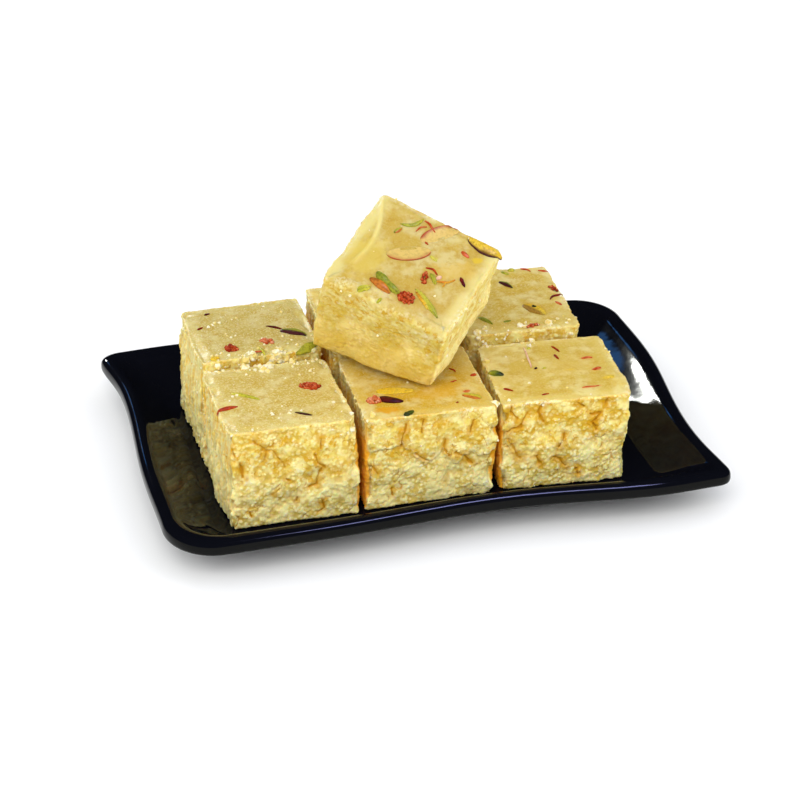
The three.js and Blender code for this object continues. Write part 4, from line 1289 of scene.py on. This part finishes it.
def sliver_shape(length, width, rise, bow, flat, turn):
    """A pointed sliver along X with a shallow groove, lying with its underside pressed in."""
    around = -np.arange(16) / 16 * 2 * math.pi
    rings = []
    uneven = noise(np.column_stack([np.linspace(0, 4, 22), np.full(22, length), np.full(22, turn)]),
                   1.0, 17)
    uneven = 0.5 + (uneven - 0.5) * min(1.0, 3.0 / width)
    for t, chip in zip(np.linspace(0.02, 0.98, 22), uneven):
        girth = math.sin(math.pi * t) ** 0.5 * (1.05 - 0.25 * t) * (0.72 + 0.5 * chip)
        y = np.cos(around) * width / 2 * girth
        y = np.where(y > 0, y * (1 - flat), y)
        up = np.clip(np.sin(around), 0, 1) * rise * girth ** 0.8
        groove = 0.22 * rise * np.exp(-((y / width + 0.08) / 0.09) ** 2) * girth
        z = up - groove * (np.sin(around) > 0.2) + np.clip(np.sin(around), -1, 0) * 0.7
        lean = bow * (1 - (2 * t - 1) ** 2)
        rings.append(np.column_stack([np.full(16, (t - 0.5) * length), y + lean, z]))
    return tube(rings)


def sliver_tint(points, spec, seed):
    ramp, _, _, length, _, width, rise, start, end, bow, flat, near = spec
    t = points[:, 0] / length + 0.5
    mottle = noise(points + 31.0 * seed, 0.9, seed) - 0.5
    colour = ramp_colour(ramp, start + (end - start) * t + 0.16 * mottle)
    across = (points[:, 1] - bow * (1 - (2 * t - 1) ** 2)) / width
    if near:
        edge = -0.06
        if flat > 0.5:
            edge, across = -0.33, across / np.clip(np.sin(math.pi * t), 0.05, 1) ** 0.5
        stray = 0.2 * (noise(points, 2.4, seed + 40) - 0.5) * (flat < 0.5)
        share = smooth(edge + 0.05, edge - 0.08, across + 0.05 * mottle + stray)[:, None]
        colour = colour * (1 - share) + np.array(linear(*near)[:3]) * share
    # Painted shade: darker along the groove of the taller slivers.
    groove = np.exp(-((across + 0.08) / 0.06) ** 2)[:, None] * 0.45
    return colour * (1 - groove * (rise > 0.6))


def ball(steps):
    """The places and faces of a small faceted ball of radius 1."""
    mesh = bmesh.new()
    bmesh.ops.create_icosphere(mesh, subdivisions=steps, radius=1.0)
    verts = np.array([v.co[:] for v in mesh.verts])
    faces = [tuple(v.index for v in face.verts) for face in mesh.faces]
    mesh.free()
    return verts, faces


def cluster_shape(length, width, rise, tone, seed):
    """Small grains packed in a heap, and their colours."""
    rng = np.random.default_rng(seed)
    one, one_faces = ball(2)
    grains = max(5, int(length * width * 2.6))
    verts, faces, tints = [], [], []
    for g in range(grains):
        angle, far = rng.uniform(0, 2 * math.pi), math.sqrt(rng.uniform(0, 1))
        size = rng.uniform(0.32, 0.62) * min(1.0, width / 2.5)
        middle = (far * math.cos(angle) * (length / 2 - 0.3), far * math.sin(angle) * (width / 2 - 0.3),
                  rise * (1 - far ** 2) * rng.uniform(0.2, 1.0))
        stretch = rng.uniform(0.75, 1.35, 3) * size
        verts.append(one * stretch + middle)
        faces += [tuple(i + g * len(one) for i in face) for face in one_faces]
        shade = np.full(len(one), tone + rng.normal(0, 0.10))
        # Painted light: each grain paler at its top and darker underneath.
        tints.append(ramp_colour("rose", shade + 0.12 * one[:, 2]))
    return (np.vstack(verts), faces), np.vstack(tints)


def thread_shape(length, thick, bow):
    around = -np.arange(7) / 7 * 2 * math.pi
    rings = []
    for t in np.linspace(0, 1, 14):
        girth = thick / 2 * (0.35 + 0.65 * math.sin(math.pi * min(max(t, 0.03), 0.97)) ** 0.5)
        y = bow * (1 - (2 * t - 1) ** 2) + 0.18 * math.sin(7 * t + length)
        rings.append(np.column_stack([np.full(7, (t - 0.5) * length), y + np.cos(around) * girth,
                                      0.12 + np.sin(around) * girth]))
    return tube(rings)


def flake_shape(length, width):
    """A thin half-moon flake: rings from its rim to its middle, over a sunk underside."""
    around = np.arange(48) / 48 * 2 * math.pi
    rings = []
    for share, z in ((0.6, -0.6), (0.98, -0.5), (1.0, 0.12), (0.97, 0.30), (0.90, 0.26), (0.6, 0.20),
                     (0.3, 0.18)):
        x, y = np.cos(around) * length / 2 * share, np.sin(around) * width / 2 * share
        y = np.where(y > 0, y * 0.7, y)
        rings.append(np.column_stack([x, y, z - 0.07 * (y + width * 0.25)]))
    return tube(rings)


def flake_tint(points, length, width, rim_starts):
    reach = np.hypot(points[:, 0] / length, points[:, 1] / width) * 2
    rim = smooth(rim_starts, rim_starts + 0.1, reach) * smooth(0.0, -0.16, points[:, 1] / width)
    rim *= 0.55 + 0.6 * noise(points, 2.4, 5)
    faint = 0.35 * noise(points, 2.0, 3)
    rim = np.clip(rim + faint * 0.3, 0, 1)[:, None]
    return np.array(linear(*FLAKE_PALE)[:3]) * (1 - rim) + np.array(linear(*FLAKE_RIM)[:3]) * rim


def topping_material(name, size, dark, rough, weight):
    """A finish that takes the piece's own tints and breaks them up with fine mottling."""
    made, tree = new_material(name)
    place = put(tree, "ShaderNodeTexCoord").outputs["Object"]
    tint = attribute(tree, "tint").outputs["Color"]
    mottle = grain_noise(tree, place, size, 3.0, 0.6)
    shade = put(tree, "ShaderNodeMix", {0: remap(tree, mottle, 0.42, 0.75, 0.0, dark), 6: tint,
                                        7: (0.12, 0.05, 0.02, 1)}, data_type="RGBA",
                blend_type="MULTIPLY").outputs[2]
    bump = put(tree, "ShaderNodeBump", {"Strength": 0.5, "Distance": 0.12 * MM, "Height": mottle})
    finish_material(tree, {"Base Color": shade, "Roughness": rough, "Specular IOR Level": 0.15,
                           "Subsurface Weight": weight, "Subsurface Radius": (1.0, 0.7, 0.3),
                           "Subsurface Scale": 0.8 * MM, "Normal": bump.outputs["Normal"]})
    return made


def make_toppings():
    slivers, clusters, threads, flakes = Gathered(), Gathered(), Gathered(), Gathered()
    for name, specs in SLIVERS.items():
        for index, spec in enumerate(specs):
            _, x, y, length, turn, width, rise, _, _, bow, flat, _ = spec
            shape = sliver_shape(length, width, rise, bow, flat, turn)
            slivers.lay(name, shape, x, y, turn, sliver_tint(shape[0], spec, index))
    for name, specs in CLUSTERS.items():
        for index, (x, y, length, turn, width, rise, tone) in enumerate(specs):
            shape, tint = cluster_shape(length, width, rise, tone, 10 * index + len(name))
            clusters.lay(name, shape, x, y, turn, tint)
    for name, specs in THREADS.items():
        for x, y, length, turn, thick, bow, ramp, tone in specs:
            shape = thread_shape(length, thick, bow)
            along = shape[0][:, 0] / length
            tint = ramp_colour(ramp, tone + 0.08 * np.sin(9 * along))
            threads.lay(name, shape, x, y, turn, tint)
    for name, specs in FLAKES.items():
        for x, y, length, turn, width, rim_starts in specs:
            shape = flake_shape(length, width)
            flakes.lay(name, shape, x, y, turn, flake_tint(shape[0], length, width, rim_starts))
    return [slivers.make("pistachio_slivers", topping_material("nut_flesh", 0.7, 0.5, 0.35, 0.2)),
            clusters.make("petal_clusters", topping_material("dried_petal", 0.4, 0.6, 0.6, 0.1)),
            threads.make("petal_threads", topping_material("petal_thread", 0.5, 0.4, 0.5, 0.1)),
            flakes.make("almond_flakes", topping_material("almond_flake", 1.2, 0.25, 0.35, 0.3))]


# ---------------------------------------------------------------- the scene


def crumb_material():
    made, tree = new_material("crumb_curd")
    place = put(tree, "ShaderNodeTexCoord").outputs["Object"]
    share = remap(tree, grain_noise(tree, place, 2.4, 2.0), 0.38, 0.62)
    colour = blend(tree, share, linear(*SIDE_LEMON), linear(*CHALK))
    fine = grain_noise(tree, place, 0.4, 2.0)
    bump = put(tree, "ShaderNodeBump", {"Strength": 0.4, "Distance": 0.15 * MM, "Height": fine})
    finish_material(tree, {"Base Color": colour, "Roughness": 0.55, "Subsurface Weight": 0.3,
                           "Subsurface Radius": (1.0, 0.7, 0.3), "Subsurface Scale": 0.8 * MM,
                           "Normal": bump.outputs["Normal"]})
    return made


def looseness(piece, square, torn_only):
    """How thickly crumbs lie at each place of a square: along torn top edges and, for the small ones,
    on the sparkling tops and here and there on the cut sides. Kept as the attribute loose."""
    places = places_of(piece)
    top, chalk, between = (values_of(piece, label) for label in ("top", "chalk", "between"))
    patches = smooth(0.50, 0.72, noise(places, 6.0, square["seed"] + 20))
    torn = np.zeros(len(places))
    for x, y, z, radius, strength in TORN_PLACES:
        away = np.linalg.norm(places - (x, y, z), axis=1)
        torn = np.maximum(torn, strength * smooth(radius, radius * 0.4, away))
    loose = torn * (0.3 + patches)
    if not torn_only:
        loose += 0.03 * patches + 0.35 * chalk * patches
        loose += 0.16 * (square["sparkle"] > 0.4) * top * patches
    add_value(piece, "loose", loose * (1 - 0.8 * between))


def make_crumbs(made):
    """Broken grains strewn over all the squares, as one piece."""
    verts, faces = ball(2)
    shape = verts * 0.5 * (0.45 + 1.1 * noise(verts + 5.0, 0.7, 8))[:, None]
    grain = add_mesh("crumb_grain", shape, faces, shade_smooth=False)
    scatter, finish = crumb_scatter(), crumb_material()
    all_verts, all_faces, total = [], [], 0
    for name, piece in made.items():
        square = ALL_CURD[name]
        for torn_only, smallest, largest, density in CRUMB_SIZES:
            host = bpy.data.objects.new("crumb_host", piece.data.copy())
            bpy.context.scene.collection.objects.link(host)
            looseness(host, square, torn_only)
            apply_nodes(host, scatter, {"Grain": grain, "Smallest": smallest, "Largest": largest,
                                        "Density": density, "Seed": square["seed"],
                                        "Finish": finish})
            all_verts.append(places_of(host))
            all_faces += [tuple(i + total for i in face.vertices) for face in host.data.polygons]
            total += len(host.data.vertices)
            bpy.data.objects.remove(host)
    bpy.data.objects.remove(grain)
    piece = add_mesh("loose_crumbs", np.vstack(all_verts), all_faces, shade_smooth=False)
    piece.data.materials.append(finish)
    return piece


def sizes():
    low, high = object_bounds()
    return [list(low), list(high)]


def under_plane():
    """The leaning square's underside as a plane: its normal and its constant."""
    width, depth, _ = LEANING["size"]
    corners = np.array([(sx * width / 2, sy * depth / 2, -LEANING["drop"] if sx < 0 else 0)
                        for sx, sy in ((-1, -1), (1, -1), (-1, 1))])
    a, b, c = to_frame(corners, LEANING)
    normal = np.cross(b - a, c - a)
    return normal, -normal @ a


def finish_prop():
    """The broken piece's height everywhere, up to the leaning square's underside."""
    normal, constant = under_plane()
    foot = STAND + SQUARES["block_back_middle"]["size"][2] + GAP
    turn = math.radians(PROP["turn"])

    def under(point):
        x = point[:, 0] * math.cos(turn) - point[:, 1] * math.sin(turn) + PROP["at"][0]
        y = point[:, 0] * math.sin(turn) + point[:, 1] * math.cos(turn) + PROP["at"][1]
        return -(normal[0] * x + normal[1] * y + constant) / normal[2] - foot - PROP["clearance"]

    PROP["size"] = (*PROP["size"], float(under(np.zeros((1, 2)))[0]))
    PROP["under"] = under
    PROP["stand"] = foot


def make_curd():
    relief, finish = curd_relief(), curd_material()
    finish_prop()
    made = {}
    for name, square in ALL_CURD.items():
        small = name == "broken_piece"
        form = {"block_top": LEANING_FORM, "broken_piece": PROP_FORM}.get(name, SQUARE_FORM)
        steps, steps_up = (60, 40) if small else (128, 92)
        piece = make_square(name, square, form, steps, steps_up)
        apply_nodes(piece, relief, {"Seed": float(square["seed"]), "Finish": finish})
        made[name] = piece
    return made


# Lamps: width and height, place, aim, power, colour, and whether only mirrors show it.
MIDDLE = (0.0, 0.0, 0.03)
LAMPS = {
    "front_softbox": ((0.9, 0.8), (-0.38, -1.10, 1.20), MIDDLE, 10.2, (1.0, 0.985, 0.96), False),
    "left_softbox": ((0.9, 0.9), (-1.25, -0.45, 0.80), MIDDLE, 5.6, (1.0, 1.0, 0.98), False),
    "right_softbox": ((1.1, 1.0), (1.05, -0.75, 0.80), MIDDLE, 4.4, (1.0, 1.0, 1.0), False),
    "window": ((0.040, 0.11), (-0.262, 0.80, 0.300), (0.085, 0.0, 0.013), 3.6, (0.92, 0.96, 1.0),
               True),
    "sky_pane": ((0.06, 0.05), (-0.262, 0.80, 0.450), (0.085, 0.03, 0.013), 0.07,
                 (0.08, 0.32, 1.0), True),
    "strip": ((0.26, 0.12), (0.25, -0.30, 0.94), (0.0, -0.06, 0.016), 9.0, (0.28, 0.30, 1.0), True),
}
FLOOR_REACH = 6.0
AIR_COLOUR, AIR_STRENGTH = (0.96, 0.98, 1.0, 1), 0.84
LENS, SENSOR = 108.0, 36.0
CAMERA_PLACE, CAMERA_AIM = (-0.16827, -0.68253, 0.41574), (-0.00148, -0.00040, 0.0201)


def aimed(name, data, place, aim):
    """A lamp or camera at a place, turned to look at another."""
    made = bpy.data.objects.new(name, data)
    made.location = Vector(place)
    made.rotation_mode = "QUATERNION"
    made.rotation_quaternion = (Vector(aim) - Vector(place)).to_track_quat("-Z", "Y")
    bpy.context.scene.collection.objects.link(made)
    return made


def add_lamp(name, size, place, aim, power, colour, mirrored):
    light = bpy.data.lights.new(name, "AREA")
    light.shape = "RECTANGLE"
    light.size, light.size_y = size
    light.energy = power
    light.color = colour
    lamp = aimed(name, light, place, aim)
    lamp.visible_glossy, lamp.visible_diffuse = mirrored, not mirrored


def make_studio():
    """A pale floor, soft light from the front and both sides, and three lamps that only show as
    reflections: a window and the sky above it in the plate's end, and a strip along its lip."""
    mesh = bpy.data.meshes.new("studio_floor")
    reach = FLOOR_REACH
    mesh.from_pydata([(-reach, -reach, 0), (reach, -reach, 0), (reach, reach, 0),
                      (-reach, reach, 0)], [], [(0, 1, 2, 3)])
    floor = bpy.data.objects.new("studio_floor", mesh)
    bpy.context.scene.collection.objects.link(floor)
    made, tree = new_material("studio_white")
    finish_material(tree, {"Base Color": (0.97, 0.97, 0.97, 1), "Roughness": 0.9})
    mesh.materials.append(made)
    floor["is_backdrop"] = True

    world = bpy.data.worlds.new("studio_air")
    bpy.context.scene.world = world
    world.use_nodes = True
    air = world.node_tree.nodes["Background"].inputs
    air["Color"].default_value, air["Strength"].default_value = AIR_COLOUR, AIR_STRENGTH
    world.cycles_visibility.glossy = False
    for name, lamp in LAMPS.items():
        add_lamp(name, *lamp)


def make_camera():
    """The photograph's viewpoint: 806 mm away, seen from the front left at 29 degrees."""
    lens = bpy.data.cameras.new("camera")
    lens.lens, lens.sensor_width = LENS, SENSOR
    lens.clip_start, lens.clip_end = 0.01, 50.0
    bpy.context.scene.camera = aimed("camera", lens, CAMERA_PLACE, CAMERA_AIM)


def main():
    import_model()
    bpy.context.scene.view_settings.view_transform = "Standard"
    make_camera()
    make_studio()

    plate = make_plate()
    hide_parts("plate")
    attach(plate, "root")
    made = make_curd()
    for name, piece in made.items():
        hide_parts(name)
        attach(piece, "root")

    for piece in [*make_toppings(), make_crumbs(made)]:
        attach(piece, "root")


main()
